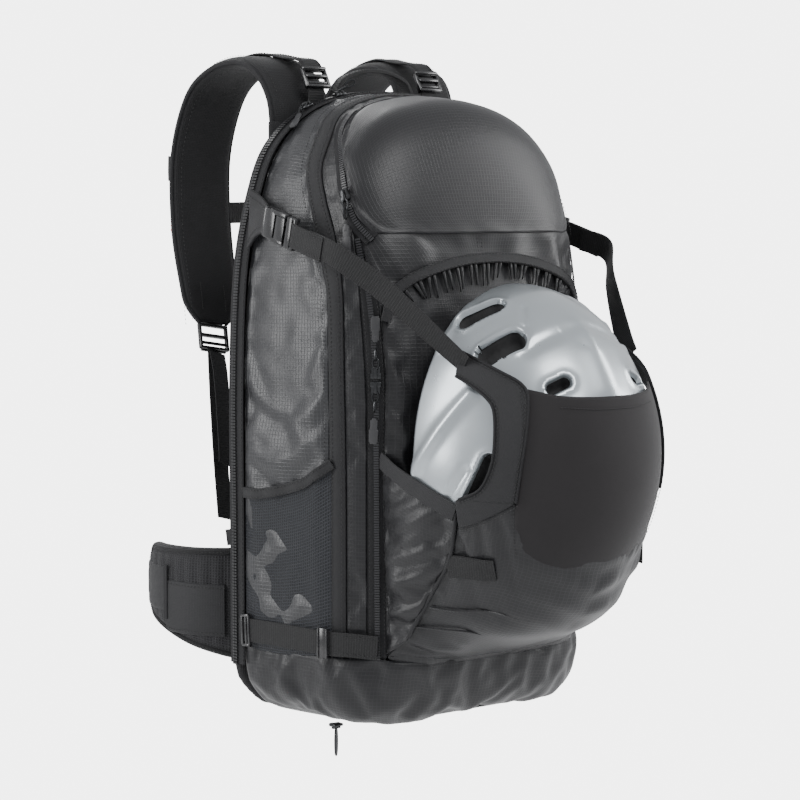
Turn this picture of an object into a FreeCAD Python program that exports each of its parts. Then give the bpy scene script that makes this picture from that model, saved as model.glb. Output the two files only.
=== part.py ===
"""Ski backpack with an airbag system, a helmet holder and a carried helmet.

Millimetres. +Z is up, the pack's front faces -Y, and the wearer stands on the +Y side.
The origin is the centre of the lumbar pad's flat rear face, which rests on the wearer.
"""
import FreeCAD
import Part
import math
import os

V = FreeCAD.Vector
os.makedirs("parts", exist_ok=True)

# Driving dimensions of the bag
HALF_WIDTH = 151.0
TOP = 426.0
BOTTOM = -110.0
LEAN = 180.0
PANEL_BACK = -10.0
PANEL_FRONT = -22.0
SHELL_BACK = -29.2
DIVIDER = -150.0
FRONT = -190.0
WALL = 4.0
FLOOR = -83.7
POCKET_SPLIT = 297.0
ZIP_WIDTH = 8.0

# Driving dimensions of the carried helmet and its holder
HELMET = V(0, -209, 126)
HELMET_RADII = V(106, 126, 138)
SHELL_WALL = 3.0
LINER_WALL = 17.0
HOLDER_HALF_WIDTH = 72.0
HOLDER_TOP = 183.0
HOLDER_LOW = 42.0

# Webbing and pads
STRAP_WIDTH = 61.0
STRAP_THICK = 12.0
WEB = 20.0
WEB_THICK = 1.6
WING_THICK = 12.0

nodes = {}


def add(name, *solids):
    """Keep one named node, made of one solid or of a few separate ones."""
    nodes.setdefault(name, []).extend(solids)


def box(low, high):
    """Box between two corners."""
    size = [high[i] - low[i] for i in range(3)]
    return Part.makeBox(size[0], size[1], size[2], V(*low))


def mirrored(shape):
    """The same piece on the other side of the pack."""
    return shape.mirror(V(0, 0, 0), V(1, 0, 0))


def prism(points, axis, low, high):
    """Polygon in the plane across an axis, extruded from low to high along it."""
    place = {
        "x": lambda a, b: V(low, a, b),
        "y": lambda a, b: V(a, low, b),
        "z": lambda a, b: V(a, b, low),
    }[axis]
    along = {"x": V(1, 0, 0), "y": V(0, 1, 0), "z": V(0, 0, 1)}[axis]
    corners = [place(a, b) for a, b in points]
    face = Part.Face(Part.makePolygon(corners + corners[:1]))
    return face.extrude(along * (high - low))


def outline(y, half, top, bottom, lean):
    """Closed outline of the bag across one depth: flat base, upright sides and a domed top."""
    s = half / HALF_WIDTH
    side = [
        (0.563 * half, bottom),
        (0.88 * half, bottom + 17 * s),
        (half, bottom + 65 * s),
        (half, lean),
        (0.972 * half, (lean + top - 84 * s) / 2 + 4 * s),
        (0.868 * half, top - 84 * s),
        (0.742 * half, top - 46 * s),
        (0.53 * half, top - 18 * s),
    ]
    right = [V(x, y, z) for x, z in side]
    left = [V(-x, y, z) for x, z in side]
    edges = [
        Part.makeLine(left[0], right[0]),
        Part.Arc(right[0], right[1], right[2]).toShape(),
        Part.makeLine(right[2], right[3]),
        Part.Arc(right[3], right[4], right[5]).toShape(),
        Part.Arc(right[5], right[6], right[7]).toShape(),
        Part.Arc(right[7], V(0, y, top), left[7]).toShape(),
        Part.Arc(left[7], left[6], left[5]).toShape(),
        Part.Arc(left[5], left[4], left[3]).toShape(),
        Part.makeLine(left[3], left[2]),
        Part.Arc(left[2], left[1], left[0]).toShape(),
    ]
    return Part.Wire(edges)


def slab(y, depth, inset):
    """Plate of the pack's rear outline, inset all round."""
    wire = outline(y, HALF_WIDTH - inset, TOP - inset, BOTTOM + inset, LEAN)
    return Part.Face(wire).extrude(V(0, depth, 0))


# The bag narrows towards its front: depth, half width, top, bottom and where the sides lean in.
STATIONS = [
    (SHELL_BACK, 151.0, 426.0, -110.0, 180.0),
    (-132.0, 132.0, 414.0, -107.0, 185.0),
    (-150.0, 121.0, 394.0, -102.0, 190.0),
    (-166.0, 108.0, 350.0, -90.0, 200.0),
    (FRONT, 84.0, 215.0, -56.0, 60.0),
]


def hull(first, last, inset=0.0, shift=0.0):
    """Part of the bag's volume between two stations."""
    wires = []
    for y, half, top, bottom, lean in STATIONS[first:last + 1]:
        wires.append(outline(y + shift, half - inset, top - inset, bottom + inset, lean))
    return Part.makeLoft(wires, True, True)


def above(z):
    return box((-400, -400, z), (400, 400, 800))


def below(z):
    return box((-400, -400, -400), (400, 400, z))


def ribbon(points, width, thick, across):
    """Flat strap through a list of points; across is its width direction."""
    path = [V(*p) for p in points]
    wires = []
    for i, p in enumerate(path):
        before = path[max(i - 1, 0)]
        after = path[min(i + 1, len(path) - 1)]
        tangent = (after - before).normalize()
        side = (across - tangent * across.dot(tangent)).normalize()
        up = side.cross(tangent)
        a = side * (width / 2.0)
        b = up * (thick / 2.0)
        corners = [p + a + b, p - a + b, p - a - b, p + a - b]
        wires.append(Part.makePolygon(corners + corners[:1]))
    return Part.makeLoft(wires, True, True)


def turned_box(centre, size, angle):
    """Box about a centre, turned about Z by an angle in degrees."""
    low = [centre[i] - size[i] / 2.0 for i in range(3)]
    high = [centre[i] + size[i] / 2.0 for i in range(3)]
    solid = box(low, high)
    solid.rotate(V(*centre), V(0, 0, 1), angle)
    return solid


def tube(points, radius, bend):
    """Round cable or hose: straight runs joined by tangent arcs."""
    path = [V(*p) for p in points]
    edges = []
    start = path[0]
    for before, corner, after in zip(path, path[1:], path[2:]):
        into = (corner - before).normalize()
        out = (after - corner).normalize()
        turn = into.getAngle(out)
        cut = bend * math.tan(turn / 2.0)
        a = corner - into * cut
        b = corner + out * cut
        middle = (out - into).normalize()
        reach = bend / math.cos(turn / 2.0)
        mid = corner + middle * (reach - bend)
        edges.append(Part.makeLine(start, a))
        edges.append(Part.Arc(a, mid, b).toShape())
        start = b
    edges.append(Part.makeLine(start, path[-1]))
    spine = Part.Wire(edges)
    profile = Part.Wire(Part.makeCircle(radius, path[0], path[1] - path[0]))
    return spine.makePipeShell([profile], True, False)


def dome(scale, grow=0.0):
    """The helmet's outer form, scaled about its centre or grown by a thickness."""
    ball = Part.makeSphere(1.0)
    r = HELMET_RADII * scale
    m = FreeCAD.Matrix()
    m.scale(r.x + grow, r.y + grow, r.z + grow)
    m.move(HELMET)
    return ball.transformGeometry(m)


# Back panel: a padded plate behind the wearer with the spine protector in front of it.
add("back_panel", slab(PANEL_FRONT, PANEL_BACK - PANEL_FRONT, 0))
add("back_protector", slab(-29.0, 6.7, 14))
PAD_FACE = -2.0
add("lumbar_pad", box((-70, PANEL_BACK, -50), (70, 0, 50)))
for z in (64, 152, 240):
    pad = prism([(18, z), (84, z), (78, z + 74), (18, z + 74)], "y", PANEL_BACK, PAD_FACE)
    add("back_pads", pad, mirrored(pad))

# Main zip: one toothed tape on the panel and one on the bag.
rim = slab(-24.9, 2.9, 0).cut(slab(-24.9, 2.9, ZIP_WIDTH)).common(above(-60))
add("main_zip_panel_half", rim)
rim = slab(-29.0, 3.9, 0).cut(slab(-29.0, 3.9, ZIP_WIDTH)).common(above(-60))
add("main_zip_bag_half", rim)

# Main compartment: a hollow shell, open towards the back panel, with its own floor.
outer = hull(0, 2).common(above(FLOOR))
inner = hull(0, 2, WALL, WALL).common(above(FLOOR + WALL))
mouth = slab(SHELL_BACK - 0.1, WALL + 1, WALL).common(above(FLOOR + WALL))
add("main_compartment", outer.cut(inner).cut(mouth))

# Front compartment and top pocket share the domed front, and the base pocket closes the bottom.
GAP = 0.3
front = hull(2, 4, 0, 0).cut(box((-400, DIVIDER - GAP, -400), (400, 0, 800)))
add("front_compartment", front.common(above(FLOOR)).common(below(POCKET_SPLIT)))
add("top_pocket", front.common(above(POCKET_SPLIT + GAP)))
base = Part.makeLoft([outline(*s) for s in STATIONS], True, True)
add("base_pocket", base.common(below(FLOOR - GAP)))

# Side pockets of mesh: open pouches on both tapered sides, with a hem that rises towards the front.
POUCH_LOW, POUCH_TOP = -47.0, 130.0
pouch_outer = [(-144, -40), (-154.5, -44), (-152, -92), (-137, -130), (-128, -130)]
pouch_inner = [(-130, -43), (-152.5, -46), (-150.2, -91), (-135.6, -128), (-120, -128)]
pouch = prism(pouch_outer, "z", POUCH_LOW, POUCH_TOP)
pouch = pouch.cut(prism(pouch_inner, "z", POUCH_LOW + 2, POUCH_TOP + 1))
pouch = pouch.cut(hull(0, 2, -0.3))
pouch = pouch.cut(prism([(-30, 85), (-140, 121), (-140, 300), (-30, 300)], "x", -200, 0))
add("mesh_pockets", pouch, mirrored(pouch))

# Lower compression straps on both sides, each with a loop buckle at its rear end.
LOWER_STRAP_Z = -31
lower_path = [(-156.2, -34), (-156.2, -45), (-153.6, -92.8), (-138.6, -131.6), (-118, -166)]
strap = ribbon([(x, y, LOWER_STRAP_Z) for x, y in lower_path], WEB, WEB_THICK, V(0, 0, 1))
strap = strap.cut(hull(0, 4, -0.3)).cut(pouch)
add("lower_straps", strap, mirrored(strap))
buckle_place = (-156.4, -39, LOWER_STRAP_Z)
buckle = turned_box(buckle_place, (5, 9, 26), 0).cut(turned_box(buckle_place, (8, 4, 20.6), 0))
buckle = buckle.cut(strap).cut(hull(0, 4, -0.3)).cut(pouch)
add("lower_buckles", buckle, mirrored(buckle))

# Shoulder yoke, hip belt base and webbing anchors, all sewn to the panel.
add("shoulder_yoke", box((-104, PANEL_BACK, 345), (104, -4, 400)))
add("hip_belt_base", box((72, PANEL_BACK, -66), (103, -2, 28)), box((-103, PANEL_BACK, -66), (-72, -2, 28)))
anchor = ribbon([(-112, -8.6, 46), (-124, 4, 42), (-128, 26, 38)], 14, 2, V(0, 0, 1))
anchor = anchor.cut(box((-200, -40, -100), (0, PANEL_BACK, 200)))
add("lower_strap_anchors", anchor, mirrored(anchor))
lock = box((-75, -21, 428), (-49, -12, 446))
lock = lock.cut(box((-71, -30, 439), (-53, 0, 443)))
stem = ribbon([(-62, -16, 402), (-62, -16, 430)], 16, 3, V(1, 0, 0)).cut(slab(-25, 20, 0))
lock = lock.fuse(stem)
add("load_lifter_buckles", lock, mirrored(lock))

# Airbag system inside the main compartment, fixed to the panel side.
CYLINDER = V(50, -58, -30)
CYLINDER_RADIUS = 22.0
CYLINDER_LENGTH = 178.0
body = Part.makeCylinder(CYLINDER_RADIUS, CYLINDER_LENGTH, CYLINDER)
neck = Part.makeCylinder(9, 12, CYLINDER + V(0, 0, CYLINDER_LENGTH))
add("gas_cylinder", body.fuse(neck))
for z in (-6, 112):
    ring = Part.makeCylinder(CYLINDER_RADIUS + 2.5, 18, V(CYLINDER.x, CYLINDER.y, z))
    foot = box((CYLINDER.x - 12, -42, z), (CYLINDER.x + 12, -30, z + 18))
    hole = Part.makeCylinder(CYLINDER_RADIUS + 0.05, 20, V(CYLINDER.x, CYLINDER.y, z - 1))
    add("cylinder_clamps", ring.fuse(foot).cut(hole))
HEAD_LOW = CYLINDER.z + CYLINDER_LENGTH + 12
head = box((CYLINDER.x - 18, -71.8, HEAD_LOW), (CYLINDER.x + 18, -42, HEAD_LOW + 36))
PIN = V(CYLINDER.x - 18, -58, HEAD_LOW + 18)
PIN_RADIUS = 2.5
head = head.cut(Part.makeCylinder(PIN_RADIUS + 0.06, 22, PIN, V(1, 0, 0)))
add("valve_head", head)
add("puncture_pin", Part.makeCylinder(PIN_RADIUS, 14, PIN + V(-4, 0, 0), V(1, 0, 0)))
folded = slab(-68, 32, 24).cut(slab(-68, 32, 62)).common(above(225))
add("folded_airbag", folded)
hose = tube([(50, -58, HEAD_LOW + 36), (50, -58, 262), (30, -56, 310), (20, -54, 363.5)], 6, 30)
add("inflation_hose", max(hose.cut(folded).Solids, key=lambda s: s.Volume))
cable = tube([(31.5, -58, 188), (-2, -58, 190), (-30, -52, 230), (-44, -44, 300), (-66, -37, 340)], 2.5, 16)
add("trigger_cable", max(cable.cut(folded).Solids, key=lambda s: s.Volume))

# Zips of the front compartment and the top pocket.
zip_line = [(-117.4, -163, -19), (-117.4, -163, 150), (-116.8, -163, 196), (-113.4, -163, 246)]
tape = ribbon(zip_line, 10, 2, V(0.62, -0.78, 0)).cut(hull(0, 4, -0.2))
add("pocket_zip_tapes", tape, mirrored(tape))
zip_band = [(-91, 391), (-108, 366), (-121, 340), (-132, 316), (-142, 316), (-131, 340), (-117, 366), (-100, 391)]
tape = hull(0, 4, -1.6).cut(hull(0, 4, -0.2)).common(prism(zip_band, "x", -160, 0))
add("pocket_zip_tapes", tape)


# Sliders, each with the pull tab that hangs from it.
slider = box((-84, -28.5, 410), (-74, -23.5, 416)).cut(slab(-30, 20, -1.2))
tab = ribbon([(-87, -35, 409), (-97, -38, 402.5), (-108, -40, 392)], 5, 2, V(0, 1, 0)).cut(hull(0, 4, -0.4))
add("main_zip_slider_lower", slider, max(tab.Solids, key=lambda s: s.Volume))
slider = box((-46, -28.5, 421), (-36, -23.5, 427.4)).cut(slab(-30, 20, -0.4))
add("main_zip_slider_upper", slider, box((-47, -26.9, 427.8), (-35, -25.1, 444)))
SLIDER = (5, 8, 11)
ZIP_TURN = -52
for name, slider_z, pull_z in (("upper", 194, 223), ("lower", 181, 152)):
    slider = turned_box((-124.6, -168, slider_z), SLIDER, ZIP_TURN)
    add("front_zip_slider_" + name, slider, turned_box((-125.4, -168.6, pull_z), (2, 5, 46), ZIP_TURN))
slider = turned_box((-117.8, -133, 335), SLIDER, -16).cut(hull(0, 4, -3.2))
tab = ribbon([(-121.4, -137, 328), (-126.6, -142, 281)], 6, 2, V(0.3, -0.95, 0)).cut(hull(0, 4, -3.2))
add("top_pocket_slider", max(slider.Solids, key=lambda s: s.Volume), max(tab.Solids, key=lambda s: s.Volume))
add("rain_cover_slider", box((-100, -92, -115.4), (-88, -84, -110.3)), box((-96.5, -89, -139), (-91.5, -87, -115.8)))

# Grab handle: a webbing loop on the panel's top edge.
grip_path = [(-41, 429), (-32, 438), (-12, 443), (12, 443), (32, 438), (41, 429)]
grip = ribbon([(x, -16, z) for x, z in grip_path], 12, 4, V(0, 1, 0))
add("grab_handle", grip)

# Shoulder straps, their adjusters and the webbing below them.
strap_path = [
    (-69, -3, 404), (-71, -1, 424), (-73, 18, 444), (-73, 48, 452), (-75, 88, 446),
    (-77, 120, 424), (-81, 136, 370), (-86, 128, 307), (-95, 102, 248), (-100, 90, 221),
]
strap = ribbon(strap_path[:2], STRAP_WIDTH, 8, V(1, 0, 0))
strap = strap.fuse(ribbon(strap_path[1:], STRAP_WIDTH, STRAP_THICK, V(1, 0, 0)))
add("left_shoulder_strap", strap)
add("right_shoulder_strap", mirrored(strap))
lock = ribbon([(-100.4, 89, 219), (-104, 80, 192)], 30, 7, V(1, 0, 0))
lock = lock.cut(ribbon([(-102, 84, 204), (-103, 82.5, 199)], 22, 30, V(1, 0, 0)))
add("strap_adjusters", lock, mirrored(lock))
web = ribbon([(-104.2, 79.5, 190.5), (-126.4, 32.5, 58)], WEB, WEB_THICK, V(1, 0, 0))
add("adjuster_webbing", web, mirrored(web))
web = ribbon([(-62, -6, 456), (-62, 22, 458), (-66, 54, 463), (-68, 84, 461)], WEB, WEB_THICK, V(1, 0, 0))
web = web.cut(strap)
add("adjuster_webbing", web, mirrored(web))

# Chest strap on two rails.
RAIL_ALONG = V(0, 8, 63).normalize()
rail = ribbon([(-84, 141, 352), (-84, 133.6, 294)], 8, 3, V(1, 0, 0)).cut(strap)
add("chest_strap_rails", rail, mirrored(rail))
clip = box((-92, 141.5, 312), (-72, 149, 330))
add("chest_webbing", clip, mirrored(clip))
web = box((-71.7, 143.5, 311), (-26, 145.1, 331))
add("chest_webbing", web, mirrored(web))
socket = box((-25.7, 139.5, 308), (12, 149.5, 334))
socket = socket.cut(box((-8, 141.3, 312), (14, 147.7, 330))).cut(box((-6, 147.5, 316), (4, 152, 326)))
add("chest_buckle_socket", socket)
tongue = box((-6, 141.7, 312.4), (12.3, 144.2, 329.6)).fuse(box((12.3, 139.5, 308), (25.7, 149.5, 334)))
add("chest_buckle_tongue", tongue)
add("chest_buckle_button", box((-5.6, 146.6, 316.4), (3.6, 150.6, 325.6)))

# Release handle of the airbag on the wearer's left strap, held in a sleeve.
sleeve = box((-108, 134, 350), (-90, 152, 372)).cut(box((-104.5, 143, 345), (-93.5, 149, 380)))
add("release_sleeve", sleeve.cut(strap))
grip = box((-106, 140.5, 300), (-93, 151.5, 338))
shank = box((-103, 144, 338), (-95, 148, 366))
add("release_handle", grip.fuse(shank))

# Hip wings with their webbing and the two halves of the waist buckle.
wing_path = [(-108, 1), (-133, 16), (-152, 42), (-157, 72), (-154, 96), (-144, 118)]


def wing(path, low, high, thick):
    points = [(x, y, (low + high) / 2.0) for x, y in path]
    return ribbon(points, high - low, thick, V(0, 0, 1))


panel = wing(wing_path, -66, 28, WING_THICK)
taper = prism([(60, 12), (125, -6), (125, 60), (60, 60)], "x", -220, 0)
panel = panel.cut(taper)
taper = prism([(60, -66), (125, -50), (125, -100), (60, -100)], "x", -220, 0)
panel = panel.cut(taper)
add("hip_wing_left", panel)
add("hip_wing_right", mirrored(panel))
web = wing([(-143.2, 124.6), (-128, 142), (-96, 156), (-62, 161)], -47, -9, 2)
add("hip_webbing_left", web)
add("hip_webbing_right", mirrored(web))
half = box((-61.6, 155, -50), (-20, 167, -6)).cut(box((-46, 157, -44), (-19, 165, -12)))
add("waist_buckle_socket", half)
fork = box((46, 155, -50), (61.6, 167, -6))
for low in (-42, -31, -20):
    fork = fork.fuse(box((14, 158, low), (47, 164, low + 6)))
add("waist_buckle_tongue", fork)

# Helmet with its liner, carried with its opening towards the bag.
front_half = box((-300, -600, -300), (300, HELMET.y, 600))
shell = dome(1.0).cut(dome(1.0, -SHELL_WALL)).common(front_half)
add("helmet_shell", shell)
liner = dome(1.0, -SHELL_WALL).cut(dome(1.0, -SHELL_WALL - LINER_WALL)).common(front_half)
add("helmet_liner", liner)

# Helmet holder: a stretch panel over the helmet, its wings, and the sling below.
skin = dome(1.0, 5.0).cut(dome(1.0, 1.6)).common(front_half)
panel_box = box((-HOLDER_HALF_WIDTH, -420, HOLDER_LOW), (HOLDER_HALF_WIDTH, -260, HOLDER_TOP))
add("stretch_panel", skin.common(panel_box))
wing_shape = [
    (-240, 214), (-330, 196), (-330, 42), (-252, 52), (-250, 76), (-262, 101),
    (-282, 112), (-287, 130), (-286, 160), (-272, 184), (-240, 200),
]
side_wing = skin.common(prism(wing_shape, "x", -200, -HOLDER_HALF_WIDTH - 0.05))
add("holder_wings", side_wing, mirrored(side_wing))
SLING = V(0, -166, HOLDER_LOW - 0.2)
SLING_RADII = V(104, 147, 82)
SLING_THICK = 2.4


def bowl(inset):
    """The sling's rounded form, from the panel's lower edge down to the bag's front seam."""
    ball = Part.makeSphere(1.0)
    m = FreeCAD.Matrix()
    m.scale(SLING_RADII.x - inset, SLING_RADII.y - inset, SLING_RADII.z - inset)
    m.move(SLING)
    return ball.transformGeometry(m)


sling = bowl(0).cut(bowl(SLING_THICK)).common(box((-400, -600, -400), (400, SLING.y, SLING.z)))
sling = sling.cut(hull(0, 4, -0.4)).cut(box((-400, FRONT, -400), (400, 0, -18)))
sling = max(sling.Solids, key=lambda s: s.Volume)
add("holder_sling", sling)
gusset_plan = [(-111.5, -160), (-111.5, -212), (-105, -262), (-102.9, -262), (-109.3, -211.5), (-109.3, -160)]
gusset_side = [(-150, HOLDER_LOW), (-264, HOLDER_LOW), (-264, 88), (-181, 121), (-150, 121)]
gusset = prism(gusset_plan, "z", -20, 200).common(prism(gusset_side, "x", -200, 0))
gusset = gusset.cut(dome(1.0, 1.6)).cut(hull(0, 4, -0.4))
gusset = max(gusset.Solids, key=lambda s: s.Volume)
add("holder_gussets", gusset, mirrored(gusset))

# Holder straps: anchor, buckle and webbing on both sides.
STRAP_BUCKLE = V(-147, -86, 309)
ALONG = V(0, -69.0, -19.0).normalize()
OUTWARD = V(-1, 0, 0)
PULL_OUT = 18.0
anchor = prism([(-31, 338), (-31, 292), (-58, 318)], "x", -155, -100)
anchor = anchor.common(hull(0, 4, -2.4)).cut(hull(0, 4, -0.3))
add("holder_anchors", anchor, mirrored(anchor))


def along_strap(start, end, width, thick, lift):
    """Straight block along the holder strap, between two distances from the buckle's centre."""
    a = STRAP_BUCKLE + ALONG * start + OUTWARD * lift
    b = STRAP_BUCKLE + ALONG * end + OUTWARD * lift
    return ribbon([tuple(a), tuple(b)], width, thick, V(0, 0.265, -0.964))


socket = along_strap(-22, 8, 28, 9, 0).cut(along_strap(-14, 10, 21, 5.4, 0))
tongue = along_strap(-13, 9, 20, 4.6, 0).fuse(along_strap(8.6, 22, 28, 9, 0))
add("holder_buckle_sockets", socket, mirrored(socket))
tab = along_strap(22.3, 62, WEB, WEB_THICK, 4.0)
add("holder_buckle_left", tongue, tab)
add("holder_buckle_right", mirrored(tongue), mirrored(tab))
path = [tuple(STRAP_BUCKLE + ALONG * d + OUTWARD * 1.6) for d in (24 + PULL_OUT, 78)]
path += [(-124, -191, 262), (-93, -240, 216)]
web = ribbon(path, WEB, WEB_THICK, V(0, 0.3, -0.95)).cut(hull(0, 4, -0.3)).cut(dome(1.0, 5.2))
web = max(web.Solids, key=lambda s: s.Volume)
add("holder_straps", web, mirrored(web))

for name, solids in nodes.items():
    pieces = []
    for item in solids:
        pieces.extend(item.Solids)
    shape = pieces[0] if len(pieces) == 1 else Part.makeCompound(pieces)
    if not shape.isValid():
        print("not valid", name)
    shape.exportStep("parts/" + name + ".step")
print(len(nodes), "nodes")
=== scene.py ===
"""Looks of a ski backpack with an airbag system and a carried helmet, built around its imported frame.

Metres. +Z is up, the front of the pack faces -Y and the wearer's left is -X.
"""
import math

import bpy
import bmesh
from mathutils import Matrix, Vector, noise
from mathutils.bvhtree import BVHTree


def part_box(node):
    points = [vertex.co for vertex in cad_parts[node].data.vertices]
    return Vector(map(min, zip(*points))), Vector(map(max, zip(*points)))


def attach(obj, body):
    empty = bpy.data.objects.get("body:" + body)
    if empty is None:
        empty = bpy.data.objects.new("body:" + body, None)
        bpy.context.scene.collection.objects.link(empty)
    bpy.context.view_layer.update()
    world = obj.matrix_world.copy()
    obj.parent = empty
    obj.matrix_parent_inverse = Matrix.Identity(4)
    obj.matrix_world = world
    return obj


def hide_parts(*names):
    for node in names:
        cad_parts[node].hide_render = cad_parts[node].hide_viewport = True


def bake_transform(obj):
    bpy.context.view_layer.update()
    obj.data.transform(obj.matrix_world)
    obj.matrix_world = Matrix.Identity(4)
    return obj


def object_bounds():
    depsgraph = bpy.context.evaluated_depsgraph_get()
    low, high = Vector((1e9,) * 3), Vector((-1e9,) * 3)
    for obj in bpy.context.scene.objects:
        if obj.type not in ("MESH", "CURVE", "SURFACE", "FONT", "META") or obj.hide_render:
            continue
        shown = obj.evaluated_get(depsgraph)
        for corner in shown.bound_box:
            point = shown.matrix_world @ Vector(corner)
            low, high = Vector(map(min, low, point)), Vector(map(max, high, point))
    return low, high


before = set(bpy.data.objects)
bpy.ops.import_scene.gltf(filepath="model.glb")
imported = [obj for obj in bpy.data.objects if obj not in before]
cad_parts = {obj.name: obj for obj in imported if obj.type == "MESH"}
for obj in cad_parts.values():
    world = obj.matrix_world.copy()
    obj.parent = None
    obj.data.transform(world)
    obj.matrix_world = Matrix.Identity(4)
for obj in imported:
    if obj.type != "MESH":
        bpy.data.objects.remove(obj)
cad_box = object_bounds()
MM = 0.001


# Studio: a pale floor, soft boxes and a camera a little above the pack's middle.
# The pack hangs in the air, as it would on a shoulder, so the floor lies well below it.
AZIMUTH = math.radians(-38)
TARGET = Vector((0, -0.056, 0.1575))
DISTANCE = 2.0
CAMERA_HEIGHT = 0.33
LENS = 102.6
FLOOR_DROP = 0.34
BACKDROP = 5.0
LIGHT_DISTANCE = 1.7

elevation = math.asin((CAMERA_HEIGHT - TARGET.z) / DISTANCE)
backward = Vector((
    math.sin(AZIMUTH) * math.cos(elevation),
    -math.cos(AZIMUTH) * math.cos(elevation),
    math.sin(elevation),
))
camera = bpy.data.objects.new("camera", bpy.data.cameras.new("camera"))
camera.data.lens = LENS
camera.data.sensor_width = 36
camera.location = TARGET + backward * DISTANCE
camera.rotation_euler = backward.to_track_quat("Z", "Y").to_euler()
bpy.context.scene.collection.objects.link(camera)
bpy.context.scene.camera = camera

world = bpy.data.worlds.new("studio")
bpy.context.scene.world = world
world.use_nodes = True
world.node_tree.nodes["Background"].inputs["Color"].default_value = (0.93, 0.94, 0.96, 1)
world.node_tree.nodes["Background"].inputs["Strength"].default_value = 0.9
backdrop = world.node_tree.nodes.new("ShaderNodeBackground")
backdrop.inputs["Color"].default_value = (1, 1, 1, 1)
backdrop.inputs["Strength"].default_value = BACKDROP
ray = world.node_tree.nodes.new("ShaderNodeLightPath")
either = world.node_tree.nodes.new("ShaderNodeMixShader")
world.node_tree.links.new(ray.outputs["Is Camera Ray"], either.inputs[0])
world.node_tree.links.new(world.node_tree.nodes["Background"].outputs[0], either.inputs[1])
world.node_tree.links.new(backdrop.outputs[0], either.inputs[2])
world.node_tree.links.new(either.outputs[0], world.node_tree.nodes["World Output"].inputs["Surface"])


def soft_box(name, azimuth, height, size, power):
    """Square soft light that faces the pack; azimuth as for the camera."""
    light = bpy.data.lights.new(name, "AREA")
    light.energy = power
    light.shape = "RECTANGLE"
    light.size, light.size_y = size
    lamp = bpy.data.objects.new(name, light)
    a = math.radians(azimuth)
    lamp.location = TARGET + Vector((math.sin(a) * LIGHT_DISTANCE, -math.cos(a) * LIGHT_DISTANCE, height))
    lamp.rotation_euler = (lamp.location - TARGET).to_track_quat("Z", "Y").to_euler()
    bpy.context.scene.collection.objects.link(lamp)


soft_box("key", -8, 1.5, (1.1, 1.1), 34)
soft_box("left_strip", -112, 0.5, (0.5, 1.5), 26)
soft_box("right_strip", 62, 0.55, (0.5, 1.4), 22)
soft_box("back_fill", 170, 1.0, (1.2, 1.0), 16)

floor_mesh = bpy.data.meshes.new("floor")
floor_z = cad_box[0][2] - FLOOR_DROP
floor_mesh.from_pydata(
    [(-30, -30, floor_z), (30, -30, floor_z), (30, 30, floor_z), (-30, 30, floor_z)], [], [(0, 1, 2, 3)]
)
floor = bpy.data.objects.new("floor", floor_mesh)
bpy.context.scene.collection.objects.link(floor)
floor_look = bpy.data.materials.new("pale_floor")
floor_look.use_nodes = True
floor_look.node_tree.nodes["Principled BSDF"].inputs["Base Color"].default_value = (0.86, 0.86, 0.86, 1)
floor_look.node_tree.nodes["Principled BSDF"].inputs["Roughness"].default_value = 0.9
glow = floor_look.node_tree.nodes.new("ShaderNodeEmission")
glow.inputs["Strength"].default_value = BACKDROP
seen = floor_look.node_tree.nodes.new("ShaderNodeLightPath")
blank = floor_look.node_tree.nodes.new("ShaderNodeMixShader")
floor_look.node_tree.links.new(seen.outputs["Is Camera Ray"], blank.inputs[0])
floor_look.node_tree.links.new(floor_look.node_tree.nodes["Principled BSDF"].outputs[0], blank.inputs[1])
floor_look.node_tree.links.new(glow.outputs[0], blank.inputs[2])
floor_look.node_tree.links.new(
    blank.outputs[0], floor_look.node_tree.nodes["Material Output"].inputs["Surface"],
)
floor_mesh.materials.append(floor_look)


# Bag form: the rounded outer form that the sewn panels follow. It is the outer form of the bag's
# compartments, smoothed, and carried on past the back panel; it is a guide and not a piece.
CORE_LOW = -0.02
CORE_HIGH = 0.31
FORM_VOXEL = 0.006


def form_of_bag():
    """Smoothed convex outer form of the bag, as a tree for ray casts."""
    bm = bmesh.new()
    for node in ("main_compartment", "front_compartment", "top_pocket", "base_pocket", "back_panel"):
        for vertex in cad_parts[node].data.vertices:
            bm.verts.new(vertex.co)
            if node == "back_panel":
                bm.verts.new(vertex.co + Vector((0, 0.05, 0)))
    hull = bmesh.ops.convex_hull(bm, input=bm.verts)
    inside = {
        item for item in hull["geom_interior"] + hull["geom_unused"] if isinstance(item, bmesh.types.BMVert)
    }
    bmesh.ops.delete(bm, geom=list(inside), context="VERTS")
    mesh = bpy.data.meshes.new("bag_form")
    bm.to_mesh(mesh)
    bm.free()
    form = bpy.data.objects.new("bag_form", mesh)
    bpy.context.scene.collection.objects.link(form)
    remesh = form.modifiers.new("remesh", "REMESH")
    remesh.mode = "VOXEL"
    remesh.voxel_size = FORM_VOXEL
    smooth = form.modifiers.new("smooth", "SMOOTH")
    smooth.factor = 0.5
    smooth.iterations = 30
    depsgraph = bpy.context.evaluated_depsgraph_get()
    tree = BVHTree.FromObject(form, depsgraph)
    bpy.data.objects.remove(form)
    return tree


bag_form = form_of_bag()


# Side panels: satin ripstop from the main zip to the side zip, carried over the top of the bag; its lighter
# base colour is painted highlight.
# They are cut a little full, so the cloth ripples between its seams.
PLATE_REAR = -0.03
PLATE_FRONT = -0.12
CLOTH_THICK = 0.0012
SEAM_STEP = 0.005


def on_form(point, lift=0.0):
    """The place on the bag's form beyond a point, and the outward direction there."""
    core = Vector((
        0,
        min(max(point.y, PLATE_FRONT), PLATE_REAR),
        min(max(point.z, CORE_LOW), CORE_HIGH),
    ))
    hit, normal, _, _ = bag_form.ray_cast(core, (point - core).normalized())
    return hit + normal * lift, normal


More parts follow.
